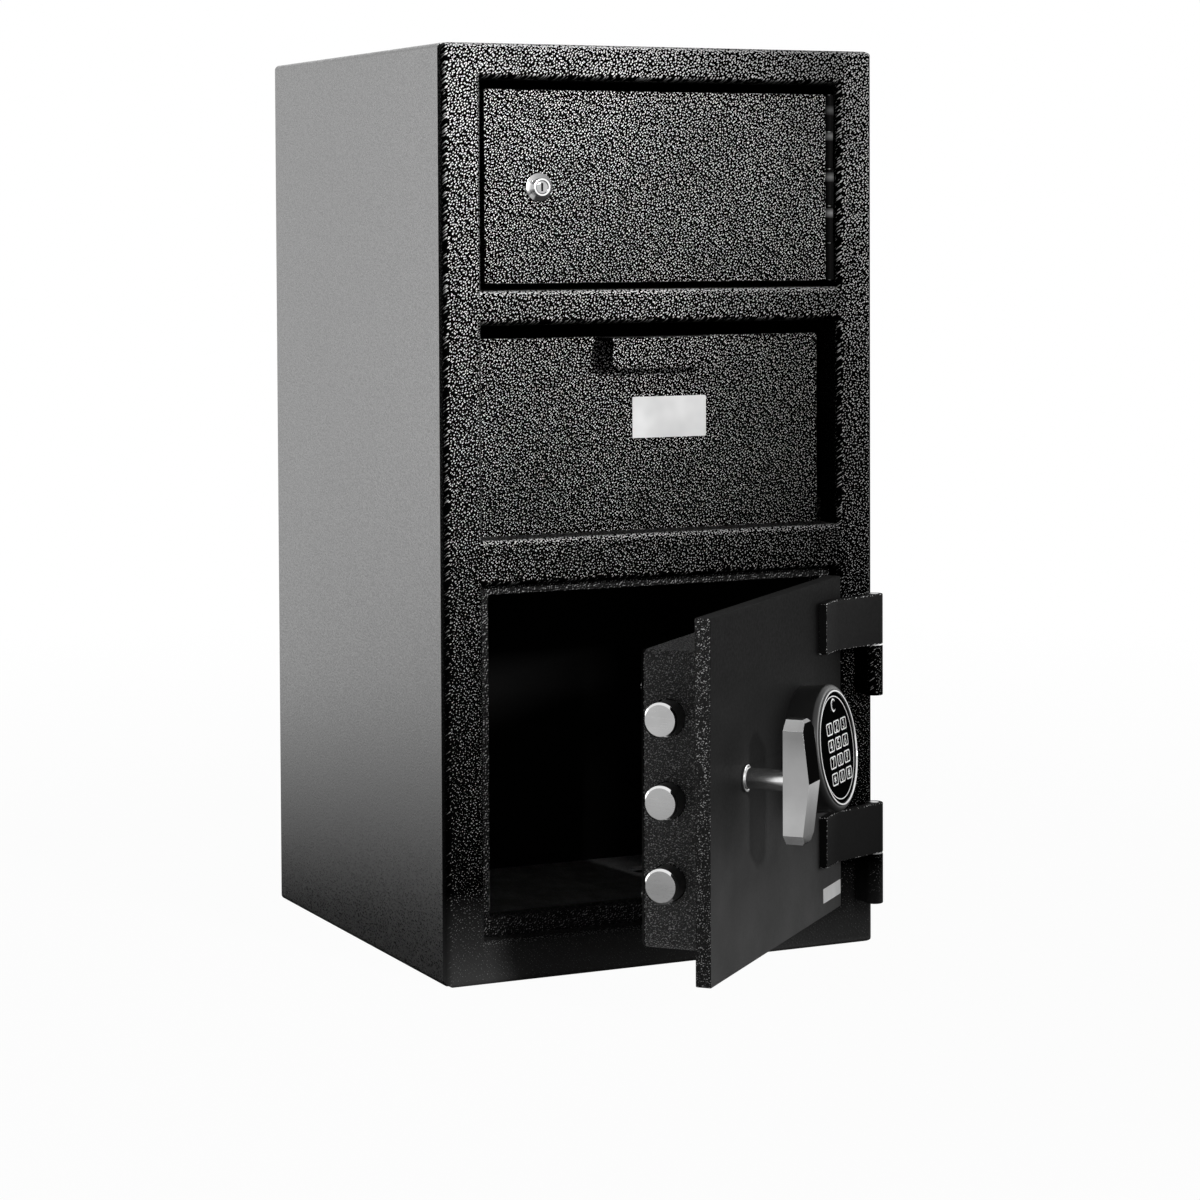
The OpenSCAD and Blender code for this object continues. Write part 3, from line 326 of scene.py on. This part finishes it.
def lock_face(name, mid_x, mid_z):
    """Plated lock face: a flange with painted reflections that come in wedge shapes, a boss with a painted
    bright reflection, and a dark joint round the plug.

    Its rings are placed by radius, in shares of 20 mm.
    """
    m, nt, p = new_material(name)
    move = node(nt, "ShaderNodeVectorMath", operation="ADD")
    move.inputs[1].default_value = (-mid_x, 0.0, -mid_z)
    nt.links.new(node(nt, "ShaderNodeTexCoord").outputs["Object"], move.inputs[0])
    at = split(nt, move.outputs["Vector"])
    flat = node(nt, "ShaderNodeCombineXYZ")
    nt.links.new(at["X"], flat.inputs["X"])
    nt.links.new(at["Z"], flat.inputs["Y"])
    swing = node(nt, "ShaderNodeTexGradient", gradient_type="RADIAL")
    nt.links.new(flat.outputs["Vector"], swing.inputs["Vector"])
    reach = node(nt, "ShaderNodeVectorMath", operation="LENGTH")
    nt.links.new(flat.outputs["Vector"], reach.inputs[0])
    radius = times(nt, reach.outputs["Value"], 1.0 / 0.020)
    # Painted reflections in wedge shapes round the axis
    painted_wedge_reflections = ramp(nt, swing.outputs["Fac"], [
        (0.0, 0.95), (0.03, 0.95), (0.05, 0.40), (0.09, 0.10), (0.11, 0.34), (0.16, 0.30), (0.19, 0.03),
        (0.34, 0.04), (0.48, 0.12), (0.6, 0.26), (0.9, 0.32), (0.93, 0.34), (0.95, 0.95)])
    # Rings by radius: a dark joint round the plug and a painted bright reflection on the boss
    rings = ramp(nt, radius, [(0.24, 0.03), (0.255, 0.5), (0.28, 0.9), (0.31, 0.8), (0.33, 0.4)])
    pick = node(nt, "ShaderNodeMix", data_type="RGBA", blend_type="MIX")
    nt.links.new(ramp(nt, radius, [(0.33, 0.0), (0.335, 1.0)]), pick.inputs["Factor"])
    nt.links.new(rings, pick.inputs["A"])
    nt.links.new(painted_wedge_reflections, pick.inputs["B"])
    nt.links.new(pick.outputs["Result"], p.inputs["Base Color"])
    p.inputs["Metallic"].default_value = 1.0
    fine = noise(nt, object_coords(nt), 1500.0)
    nt.links.new(ramp(nt, fine, [(0.3, 0.08), (0.75, 0.14)]), p.inputs["Roughness"])
    nt.links.new(bump(nt, fine, 0.05, 0.0001), p.inputs["Normal"])
    return m


def painted_glint_bands(heights, inner=0.0009, outer=0.0017, gain=60.0):
    """Stops of a painted light tone by height that is raised in a narrow band round each height, for painted
    glints.
    """
    return [stop for z in heights
            for stop in ((z - outer, 1.0), (z - inner, gain), (z + inner, gain), (z + outer, 1.0))]


# Coats of the front. The stops turn the grain into painted glints, pale specks on black
COAT = front_coat(
    "coat_wrinkle", stops=[(0.645, 0.001), (0.67, 0.32), (0.69, 0.85), (0.705, 1.0)], scale=620.0,
    painted_light_across=[(-0.02, 1.0), (0.09, 0.66), (0.148, 0.54), (0.156, 0.8)],
    painted_light_by_height=[(0.03, 0.25), (0.12, 0.7), (0.25, 0.62), (0.31, 0.8), (0.48, 0.85), (0.55, 0.85), (0.61, 0.8),
          (0.69, 0.78)])
COAT_FLAT = front_coat(
    "coat_flat", stops=[(0.68, 0.001), (0.705, 0.38), (0.725, 0.88), (0.74, 1.0)], scale=665.0,
    painted_light_across=[(-0.08, 1.0), (0.12, 0.76)])
COAT_PANEL = front_coat(
    "coat_panel", stops=[(0.662, 0.001), (0.682, 0.40), (0.70, 1.0)], scale=665.0,
    painted_light_across=[(-0.05, 1.0), (0.10, 0.68)])

# Coats of the sides, the inside and the safe door
# The side's coat gets painted shade, darker towards the floor
COAT_SIDE = wrinkle_coat(
    "coat_side", stops=[(0.35, 0.05), (0.65, 0.09)], scale=680.0, spec=1.0, strength=0.15, rough=0.32,
    coat=0.6, painted_light_by_height=[(0.0, 0.45), (0.2, 1.0)])
# The pale specks of these coats are painted glints
COAT_FINE = wrinkle_coat(
    "coat_fine", stops=[(0.55, 0.003), (0.64, 0.02), (0.71, 0.10), (0.80, 0.40)], scale=800.0, spec=0.08)
COAT_EDGE = wrinkle_coat(
    "coat_edge", stops=[(0.50, 0.02), (0.66, 0.05), (0.74, 0.20), (0.82, 0.70)], scale=1050.0, spec=0.08)
COAT_PAN = wrinkle_coat(
    "coat_pan", stops=[(0.50, 0.13), (0.64, 0.27), (0.71, 0.50), (0.80, 0.95)], scale=1000.0, spec=0.08)
COAT_PAINTED_EDGE_GLINT = wrinkle_coat(
    "coat_painted_edge_glint", stops=[(0.56, 0.005), (0.64, 0.10), (0.70, 0.45), (0.78, 0.9)], scale=760.0)
COAT_STRAP = smooth_coat("coat_strap", base=0.010, rough=0.5, spec=0.02, strength=0.2)
# The safe door's coat gets painted light, paler towards the bottom and darker towards the top
COAT_DOOR_PAINTED_LIGHT = smooth_coat("coat_door_front_painted_light", base=0.021, rough=0.45, spec=0.01,
                        painted_light_by_height=[(0.04, 3.9), (0.16, 1.2), (0.24, 0.28), (0.32, 0.06)])
# The very dark coat inside is painted shade
COAT_PAINTED_SHADE = smooth_coat("coat_inside", base=0.006, rough=0.7, spec=0.12)
# The hinge barrels get painted glints in narrow bands at given heights
BARREL_PAINTED_GLINTS = smooth_coat("hinge_coat_painted_glints", base=0.004, rough=0.5, spec=0.02,
                     painted_light_by_height=painted_glint_bands((0.533, 0.562, 0.591, 0.620, 0.642)))

# Metals
BRIGHT = metal("turned_steel", base=0.55, rough=0.3, streak=(60.0, 60.0, 900.0), strength=0.04, scratch=0.05)
CHROME = metal("chrome_plate", base=0.78, rough=0.07)
SHAFT = metal("shaft_chrome", base=0.9, rough=0.17, strength=0.01, scratch=0.01)
RING = metal("ring_plate", base=0.5, rough=0.09)
# The grip's chrome gets a painted reflection, paler towards the bottom
SATIN_PAINTED_REFLECTION = metal("satin_chrome_painted_reflection", base=0.42, rough=0.14,
              painted_light_by_height=[(0.12, 1.9), (0.142, 1.74), (0.161, 1.24), (0.182, 1.02), (0.199, 0.6), (0.21, 0.6)])
# The grip's lower front gets a painted pale reflection
PAINTED_PALE_REFLECTION = metal("chrome_painted_pale_reflection", base=0.8, rough=0.12)
ZINC = metal("zinc_plate", base=0.5, rough=0.38, strength=0.15, scratch=0.1)
LOCK_FACE = lock_face("lock_face", LOCK_X_M, LOCK_Z_M)

# Chrome with a painted dark reflection or a painted white glint, and the bolts' flanks in painted shade
PAINTED_DARK_REFLECTION = smooth_coat("chrome_painted_dark_reflection", base=0.004, rough=0.3, spec=0.0)
PAINTED_GLINT = plastic("chrome_painted_glint", base=0.9, rough=0.3, strength=0.02)
BOLT_FLANK_PAINTED_SHADE = plastic("bolt_flank_painted_shade", base=0.14, rough=0.35, spec=0.3)

# Keypad, labels and mat
PLASTIC = plastic("keypad_plastic", base=0.012, rough=0.32)
FACE = plastic("keypad_face_plastic", base=0.002, rough=0.42, strength=0.05, spec=0.0)
KEYS = plastic("key_cap", base=0.004, rough=0.45, strength=0.05, spec=0.0)
MEMBRANE = plastic("key_sheet", base=0.05, rough=0.6)
LINE = plastic("legend_print", base=0.95, rough=0.5, strength=0.02)
LABEL = plastic("blank_label", base=0.78, rough=0.42, strength=0.03)
DOOR_LABEL = plastic("door_label", base=0.86, rough=0.42, strength=0.03)
MAT = fibre_mat("grey_fibre")

LOOKS = {
    "body_shell": COAT_SIDE, "front_frame": COAT, "jamb_ring": COAT_FINE, "locker_floor": COAT_PAINTED_SHADE,
    "anti_fish_baffle": COAT_PAINTED_SHADE, "floor_mat": MAT, "hopper_ears": COAT_FINE,
    "upper_frame_hinge": COAT, "lower_frame_hinge": COAT, "hinge_pins": BRIGHT, "hinge_washers": BRIGHT,
    "locker_frame_leaf": BARREL_PAINTED_GLINTS, "locker_hinge_pin": BRIGHT, "safe_door_plate": COAT_EDGE,
    "door_pan": COAT_PAN, "door_back_cover": COAT_DOOR_PAINTED_LIGHT, "cover_screws": ZINC,
    "upper_door_hinge": COAT_STRAP, "lower_door_hinge": COAT_STRAP, "handle_bush": CHROME,
    "carriage_studs": ZINC, "lock_case": ZINC, "keypad_housing": PLASTIC, "keypad_ring": CHROME,
    "keypad_face": FACE, "keypad_lamp": FACE, "keypad_membrane": MEMBRANE, "handle_shaft": SHAFT,
    "handle_grip": SATIN_PAINTED_REFLECTION, "crank_arm": ZINC, "bolt_carriage": ZINC, "locking_bolts": BRIGHT,
    "lock_bolt": BRIGHT, "locker_door": COAT_FLAT, "locker_door_leaf": BARREL_PAINTED_GLINTS, "cam_lock_case": LOCK_FACE,
    "cam_lock_nut": ZINC, "cam_lock_plug": RING, "cam_lock_cam": ZINC, "hopper_panel": COAT_PANEL,
    "hopper_cheeks": COAT_FINE, "hopper_tray": COAT_FINE, "hopper_rod": BRIGHT,
}

# Width in millimetres of the soft edge on each node, where it isn't 0
KEY_EDGE = 0.2
EDGE = {
    "safe_door_plate": 0.9, "door_pan": 0.8, "upper_door_hinge": 0.9, "lower_door_hinge": 0.9,
    "upper_frame_hinge": 0.6, "lower_frame_hinge": 0.6, "handle_grip": 1.2, "hopper_panel": 0.8,
    "locker_door": 0.6, "jamb_ring": 0.6, "locking_bolts": 0.3, "handle_bush": 0.4,
    "keypad_housing": 0.3, "handle_shaft": 0.3, "cam_lock_case": 0.3, "cam_lock_plug": 0.2,
    "keypad_lamp": 0.4, "hopper_cheeks": 0.4, "hopper_tray": 0.4, "door_back_cover": 0.3,
}

# Finish of the soft edges, where it differs from the node's own. The speckled coat paints glints along the
# hinge and pan edges, and the brighter chrome a painted glint on the grip's and bolts' edges
EDGE_LOOK = {"handle_grip": CHROME, "upper_door_hinge": COAT_PAINTED_EDGE_GLINT, "lower_door_hinge": COAT_PAINTED_EDGE_GLINT,
             "locking_bolts": CHROME, "door_pan": COAT_PAINTED_EDGE_GLINT, "keypad_lamp": LINE}


def dress(name, obj):
    """Gives a CAD node its finish, soft edges and even shading."""
    is_key = name.startswith("key_")
    mesh = obj.data
    mesh.materials.clear()
    mesh.materials.append(KEYS if is_key else LOOKS[name])
    for poly in mesh.polygons:
        poly.use_smooth = True
        poly.material_index = 0
    weld = obj.modifiers.new("weld", "WELD")
    weld.merge_threshold = 2e-6
    width = EDGE.get(name, KEY_EDGE if is_key else 0.0)
    if width:
        edge = obj.modifiers.new("edge", "BEVEL")
        edge.width = width * MM
        edge.segments = 2
        edge.limit_method = "ANGLE"
        edge.angle_limit = math.radians(40)
        edge.use_clamp_overlap = True
        if name in EDGE_LOOK:
            mesh.materials.append(EDGE_LOOK[name])
            edge.material = 1
    sharp = obj.modifiers.new("split", "EDGE_SPLIT")
    sharp.split_angle = math.radians(38)
    sharp.use_edge_sharp = False
    even = obj.modifiers.new("even", "WEIGHTED_NORMAL")
    even.weight = 90


for name, obj in frame["nodes"].items():
    dress(name, obj)


def repaint(name, look, test):
    """Gives the faces of a node whose centre and normal pass the test another finish."""
    mesh = frame["nodes"][name].data
    mesh.materials.append(look)
    index = len(mesh.materials) - 1
    for poly in mesh.polygons:
        if test(poly.center, poly.normal):
            poly.material_index = index


def in_cabinet(center):
    """True inside the cabinet's skin, in metres."""
    half_width = 0.1758
    front, back = -0.17, 0.176
    bottom, top = 0.004, 0.684
    return abs(center.x) < half_width and front < center.y < back and bottom < center.z < top


def outward(normal):
    """From 1 on faces that look the way the open safe door's front does, to -1 on its back."""
    return normal.dot(DOOR_OUT)


def hingeward(normal):
    """From 1 on faces that look along the open safe door to its hinges, to -1 on its free edge."""
    return normal.dot(DOOR_TO_HINGE)


# Radius inside which the keypad's ring is chrome, and height of the step in its lamp, in millimetres
CHROME_R = 41.8
LAMP_STEP = 28.6
to_keypad = keypad_matrix().inverted()

# The vault and the top of the plate get painted shade, and only the plate's free edge keeps its speckled
# coat
repaint("body_shell", COAT_PAINTED_SHADE, lambda c, n: in_cabinet(c))
repaint("safe_door_plate", COAT_DOOR_PAINTED_LIGHT, lambda c, n: hingeward(n) > -0.7)
repaint("safe_door_plate", COAT_PAINTED_SHADE, lambda c, n: n.z > 0.7)

# The bolts' flanks get painted shade, a dull grey, and their rims the brighter chrome as a painted glint
repaint("locking_bolts", BOLT_FLANK_PAINTED_SHADE, lambda c, n: abs(hingeward(n)) < 0.3)
repaint("locking_bolts", CHROME, lambda c, n: -0.95 < hingeward(n) < -0.3)

# The grip's front gets a painted dark reflection above the shaft and a painted pale reflection below it, and
# its slanting free corners a painted glint
repaint("handle_grip", PAINTED_DARK_REFLECTION, lambda c, n: outward(n) > 0.9 and c.z > SHAFT_Z_M)
repaint("handle_grip", PAINTED_PALE_REFLECTION, lambda c, n: outward(n) > 0.9 and c.z < SHAFT_Z_M)
repaint("handle_grip", PAINTED_GLINT, lambda c, n: abs(n.z) > 0.6 and hingeward(n) < -0.5)

# The keypad's ring is chrome only inside that radius, and the lamp's lower step is a pale ring
repaint("keypad_ring", PLASTIC, lambda c, n: (to_keypad @ c).xy.length > CHROME_R or outward(n) < 0.3)
repaint("keypad_lamp", LINE, lambda c, n: outward(n) > 0.9 and (to_keypad @ c).z < LAMP_STEP)


# Pieces of the scene: flat outlines in millimetres, raised to thin plates and lines
def mesh_piece(name, verts, faces, look, body, matrix):
    mesh = bpy.data.meshes.new(name)
    mesh.from_pydata([tuple(v) for v in verts], [], faces)
    mesh.update()
    mesh.transform(matrix)
    mesh.materials.append(look)
    obj = bpy.data.objects.new(name, mesh)
    bpy.context.scene.collection.objects.link(obj)
    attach(obj, body)


def arc(cx, cy, rx, ry, start, end, steps):
    """Points of an arc, its angles in degrees."""
    angles = [math.radians(start + (end - start) * i / steps) for i in range(steps + 1)]
    return [(cx + rx * math.cos(a), cy + ry * math.sin(a)) for a in angles]


def circle(r, steps=72):
    return arc(0.0, 0.0, r, r, 0.0, 360.0, steps)[:-1]


def rounded(w, h, r):
    """Outline of a rectangle round the origin, with rounded corners."""
    x, y = w / 2 - r, h / 2 - r
    corners = ((x, y, 0), (-x, y, 90), (-x, -y, 180), (x, -y, 270))
    return [point for cx, cy, start in corners for point in arc(cx, cy, r, r, start, start + 90.0, 5)]


def plate(outline, thick, ease=0.1):
    """Verts and faces of a flat plate with an eased front edge."""
    n = len(outline)
    cx = sum(x for x, _ in outline) / n
    cy = sum(y for _, y in outline) / n
    verts = [(x, y, 0.0) for x, y in outline] + [(x, y, thick - ease) for x, y in outline]
    for x, y in outline:
        reach = math.hypot(x - cx, y - cy)
        share = (reach - ease) / reach
        verts.append((cx + (x - cx) * share, cy + (y - cy) * share, thick))
    faces = [tuple(reversed(range(n)))]
    for base in (0, n):
        faces += [(base + i, base + (i + 1) % n, base + n + (i + 1) % n, base + n + i) for i in range(n)]
    faces.append(tuple(range(2 * n, 3 * n)))
    return verts, faces


def line_between(outer, inner, z0, z1):
    """Verts and faces of a raised line between two outlines with as many points."""
    n = len(outer)
    verts = [(x, y, z) for z in (z1, z0) for outline in (outer, inner) for x, y in outline]
    faces = []
    for i in range(n):
        j = (i + 1) % n
        faces.append((i, j, n + j, n + i))
        faces.append((2 * n + i, 3 * n + i, 3 * n + j, 2 * n + j))
        faces.append((i, 2 * n + i, 2 * n + j, j))
        faces.append((n + i, n + j, 3 * n + j, 3 * n + i))
    return verts, faces


def stroke(points, width):
    """Flat verts and faces of a stroke through the points, its square ends 0.4 widths long."""
    verts, faces = [], []
    half = width / 2
    for (x0, y0), (x1, y1) in zip(points, points[1:]):
        length = math.hypot(x1 - x0, y1 - y0)
        ux, uy = (x1 - x0) / length * half, (y1 - y0) / length * half
        a = (x0 - ux * 0.8, y0 - uy * 0.8)
        b = (x1 + ux * 0.8, y1 + uy * 0.8)
        k = len(verts)
        verts += [(a[0] + uy, a[1] - ux), (b[0] + uy, b[1] - ux),
                  (b[0] - uy, b[1] + ux), (a[0] - uy, a[1] + ux)]
        faces.append((k, k + 1, k + 2, k + 3))
    return verts, faces


def thicken(verts, faces, z0, z1):
    """Gives flat faces a thickness."""
    n = len(verts)
    solid = list(faces) + [tuple(reversed([i + n for i in face])) for face in faces]
    for face in faces:
        for a, b in zip(face, face[1:] + face[:1]):
            solid.append((b, a, a + n, b + n))
    return [(x, y, z1) for x, y in verts] + [(x, y, z0) for x, y in verts], solid


def blank_label(name, look, body, outline, thick, place):
    """Blank label that stands upright at its place."""
    verts, faces = plate(outline, thick)
    mesh_piece(name, verts, faces, look, body, place @ Matrix.Rotation(math.pi / 2, 4, "X"))


# Blank labels: one on the hopper panel and a small one on the safe door
blank_label("hopper_label", LABEL, "hopper", rounded(w=62.0, h=31.0, r=1.2), thick=0.25,
            place=Matrix.Scale(MM, 4) @ Matrix.Translation(HOPPER_LABEL_AT))
blank_label("door_label", DOOR_LABEL, "safe_door", rounded(w=42.0, h=11.0, r=0.8), thick=0.2,
            place=door_matrix() @ Matrix.Translation(DOOR_LABEL_AT))

# Plain figures of the keys, 1 high and centred
GLYPHS = {
    "1": [[(-0.25, 0.3), (0.05, 0.5), (0.05, -0.5)]],
    "2": [arc(0, 0.22, 0.28, 0.28, 160, -25, 12) + [(-0.3, -0.5), (0.32, -0.5)]],
    "3": [arc(0, 0.25, 0.26, 0.25, 150, -90, 10), arc(0, -0.22, 0.3, 0.28, 90, -150, 10)],
    "4": [[(0.14, -0.5), (0.14, 0.5), (-0.32, -0.18), (0.34, -0.18)]],
    "5": [[(0.28, 0.5), (-0.22, 0.5), (-0.26, 0.06)] + arc(0, -0.17, 0.3, 0.33, 140, -150, 10)],
    "6": [[(0.18, 0.5), (-0.22, 0.02)], arc(0, -0.2, 0.29, 0.3, 0, 360, 16)],
    "7": [[(-0.3, 0.5), (0.3, 0.5), (-0.08, -0.5)]],
    "8": [arc(0, 0.26, 0.23, 0.24, 0, 360, 14), arc(0, -0.23, 0.29, 0.27, 0, 360, 16)],
    "9": [arc(0, 0.2, 0.29, 0.3, 0, 360, 16), [(0.22, -0.02), (-0.18, -0.5)]],
    "0": [arc(0, 0, 0.29, 0.5, 0, 360, 18)],
    "*": [[(0, 0.4), (0, -0.4)], [(-0.34, 0.2), (0.34, -0.2)], [(-0.34, -0.2), (0.34, 0.2)]],
    "#": [[(-0.14, 0.42), (-0.2, -0.42)], [(0.2, 0.42), (0.14, -0.42)], [(-0.36, 0.15), (0.36, 0.15)],
          [(-0.36, -0.15), (0.36, -0.15)]],
}

# Keypad in millimetres: keys in rows of three, with a printed outline and a figure on each
PITCH_X, PITCH_Y = 16.3, 12.1
ROWS_MIDDLE = -2.75
KEY_TOP = 28.8
PRINT_DEPTH = 0.05
OUTLINE_RISE = 0.08
FIGURE_RISE = 0.06
FIGURE_H = 5.6
FIGURE_LINE = 0.95

# Light line on the keypad's face in millimetres: outer and inner radius, base and top
RING_R = (37.6, 36.9)
RING_Z = (27.4, 27.65)


def key_figure(digit):
    """Flat verts and faces of a key's figure."""
    verts, faces = [], []
    for line in GLYPHS[digit]:
        new_verts, new_faces = stroke([(x * FIGURE_H, y * FIGURE_H) for x, y in line], FIGURE_LINE)
        faces += [tuple(k + len(verts) for k in face) for face in new_faces]
        verts += new_verts
    return verts, faces


for i, digit in enumerate("123456789*0#"):
    body = "key_" + {"*": "star", "#": "hash"}.get(digit, digit)
    cx = (i % 3 - 1) * PITCH_X
    cy = ROWS_MIDDLE + (1.5 - i // 3) * PITCH_Y
    at = keypad_matrix() @ Matrix.Translation((cx, cy, 0.0))
    verts, faces = line_between(rounded(w=12.9, h=9.1, r=1.9), rounded(w=10.9, h=7.1, r=1.2),
                                KEY_TOP - PRINT_DEPTH, KEY_TOP + OUTLINE_RISE)
    mesh_piece("outline_" + body, verts, faces, LINE, body, at)
    verts, faces = thicken(*key_figure(digit), KEY_TOP - PRINT_DEPTH, KEY_TOP + FIGURE_RISE)
    mesh_piece("legend_" + body, verts, faces, LINE, body, at)

# Thin light line round the keypad's face, inside the bright ring
verts, faces = line_between(circle(RING_R[0]), circle(RING_R[1]), *RING_Z)
mesh_piece("keypad_line", verts, faces, LINE, "safe_door", keypad_matrix())


# Studio: a pale floor that keeps a little of the shadow, a world, three lamps and the camera
def mix_shaders(nt, share, a, b):
    blend = node(nt, "ShaderNodeMixShader")
    nt.links.new(share, blend.inputs["Fac"])
    nt.links.new(a, blend.inputs[1])
    nt.links.new(b, blend.inputs[2])
    return blend.outputs["Shader"]


def white_floor_look():
    """Pale matt floor that the camera sees as nearly white, and mirrors as white away from the safe.

    Its ramps go by the distance from the safe's middle, in shares of fade metres.
    """
    fade = 4.0
    m, nt, p = new_material("floor_white")
    p.inputs["Base Color"].default_value = (0.88, 0.88, 0.88, 1.0)
    p.inputs["Roughness"].default_value = 0.9
    p.inputs["Specular IOR Level"].default_value = 0.1
    away = node(nt, "ShaderNodeVectorMath", operation="LENGTH")
    nt.links.new(node(nt, "ShaderNodeTexCoord").outputs["Object"], away.inputs[0])
    far = math_node(nt, "DIVIDE", away.outputs["Value"], fade)
    path = node(nt, "ShaderNodeLightPath").outputs
    direct = times(nt, path["Is Camera Ray"], ramp(nt, far, [(0.15, 0.97), (0.5, 1.0)]))
    mirror = larger(nt, path["Is Glossy Ray"], path["Is Transmission Ray"])
    tint = node(nt, "ShaderNodeMix", data_type="RGBA", blend_type="MIX")
    nt.links.new(path["Is Camera Ray"], tint.inputs["Factor"])
    nt.links.new(ramp(nt, far, [(0.06, 0.0), (0.40, 1.0)]), tint.inputs["A"])
    tint.inputs["B"].default_value = (1.0, 1.0, 1.0, 1.0)
    glow = node(nt, "ShaderNodeEmission")
    nt.links.new(tint.outputs["Result"], glow.inputs["Color"])
    glow.inputs["Strength"].default_value = 1.0
    seen = mix_shaders(nt, larger(nt, direct, mirror), p.outputs["BSDF"], glow.outputs["Emission"])
    nt.links.new(seen, nt.nodes["Material Output"].inputs["Surface"])
    return m


def studio_world():
    """World that is white where it is seen and weak where it lights."""
    world = bpy.data.worlds.new("studio")
    bpy.context.scene.world = world
    world.use_nodes = True
    nt = world.node_tree
    nt.nodes.clear()
    grounds = []
    for strength in (0.045, 1.0):
        ground = node(nt, "ShaderNodeBackground")
        ground.inputs["Color"].default_value = (1.0, 1.0, 1.0, 1.0)
        ground.inputs["Strength"].default_value = strength
        grounds.append(ground.outputs["Background"])
    path = node(nt, "ShaderNodeLightPath").outputs
    seen = larger(nt, path["Is Camera Ray"], path["Is Glossy Ray"])
    seen = larger(nt, seen, path["Is Transmission Ray"])
    out = node(nt, "ShaderNodeOutputWorld")
    nt.links.new(mix_shaders(nt, seen, *grounds), out.inputs["Surface"])


def lamp(name, at, target, width, height, power, spread=180.0):
    """Area lamp at a place, aimed at a target. Power is in watts and spread in degrees."""
    data = bpy.data.lights.new(name, "AREA")
    data.energy = power
    data.shape = "RECTANGLE"
    data.size = width
    data.size_y = height
    data.spread = math.radians(spread)
    obj = bpy.data.objects.new(name, data)
    obj.location = at
    obj.rotation_euler = (Vector(target) - Vector(at)).to_track_quat("-Z", "Y").to_euler()
    bpy.context.scene.collection.objects.link(obj)


bpy.ops.mesh.primitive_plane_add(size=16.0, location=(0.0, 0.0, 0.0))
floor = bpy.context.object
floor.name = "floor"
floor.data.materials.append(white_floor_look())

studio_world()
lamp("key", at=(0.25, -1.8, 0.80), target=(-0.40, -0.178, 0.64), width=0.16, height=0.16, power=3.9,
     spread=56.0)
lamp("side", at=(-2.2, 2.2, 0.70), target=(-0.15, 0.0, 0.45), width=1.6, height=1.4, power=10.5)
lamp("fill", at=(2.4, -0.6, 0.45), target=(0.2, -0.3, 0.05), width=1.8, height=1.0, power=24.0)

# Camera, fitted to the photograph
CAMERA_AT = (-1.067415, -2.310021, 0.548950)
YAW, PITCH, ROLL = (math.radians(degrees) for degrees in (25.427, -2.111, -0.250))
SENSOR_MM = 36.0

# Photograph in pixels: its side, its focal length, and the row that the lens axis meets
PHOTO_PX = 1200.0
FOCAL_PX = 3207.83
AXIS_ROW_PX = 350.0

ahead = Vector((math.sin(YAW) * math.cos(PITCH), math.cos(YAW) * math.cos(PITCH), math.sin(PITCH)))
level = Vector((math.cos(YAW), -math.sin(YAW), 0.0))
raised = level.cross(ahead)
right = level * math.cos(ROLL) + raised * math.sin(ROLL)
up = -level * math.sin(ROLL) + raised * math.cos(ROLL)

lens = bpy.data.cameras.new("camera")
lens.sensor_width = SENSOR_MM
lens.sensor_fit = "HORIZONTAL"
lens.lens = SENSOR_MM * FOCAL_PX / PHOTO_PX
lens.shift_y = (AXIS_ROW_PX - PHOTO_PX / 2) / PHOTO_PX
lens.clip_start = 0.01
lens.clip_end = 100.0
camera = bpy.data.objects.new("camera", lens)
bpy.context.scene.collection.objects.link(camera)
camera.matrix_world = Matrix.Translation(CAMERA_AT) @ Matrix((right, up, -ahead)).transposed().to_4x4()
bpy.context.scene.camera = camera

bpy.context.scene.view_settings.view_transform = "Standard"
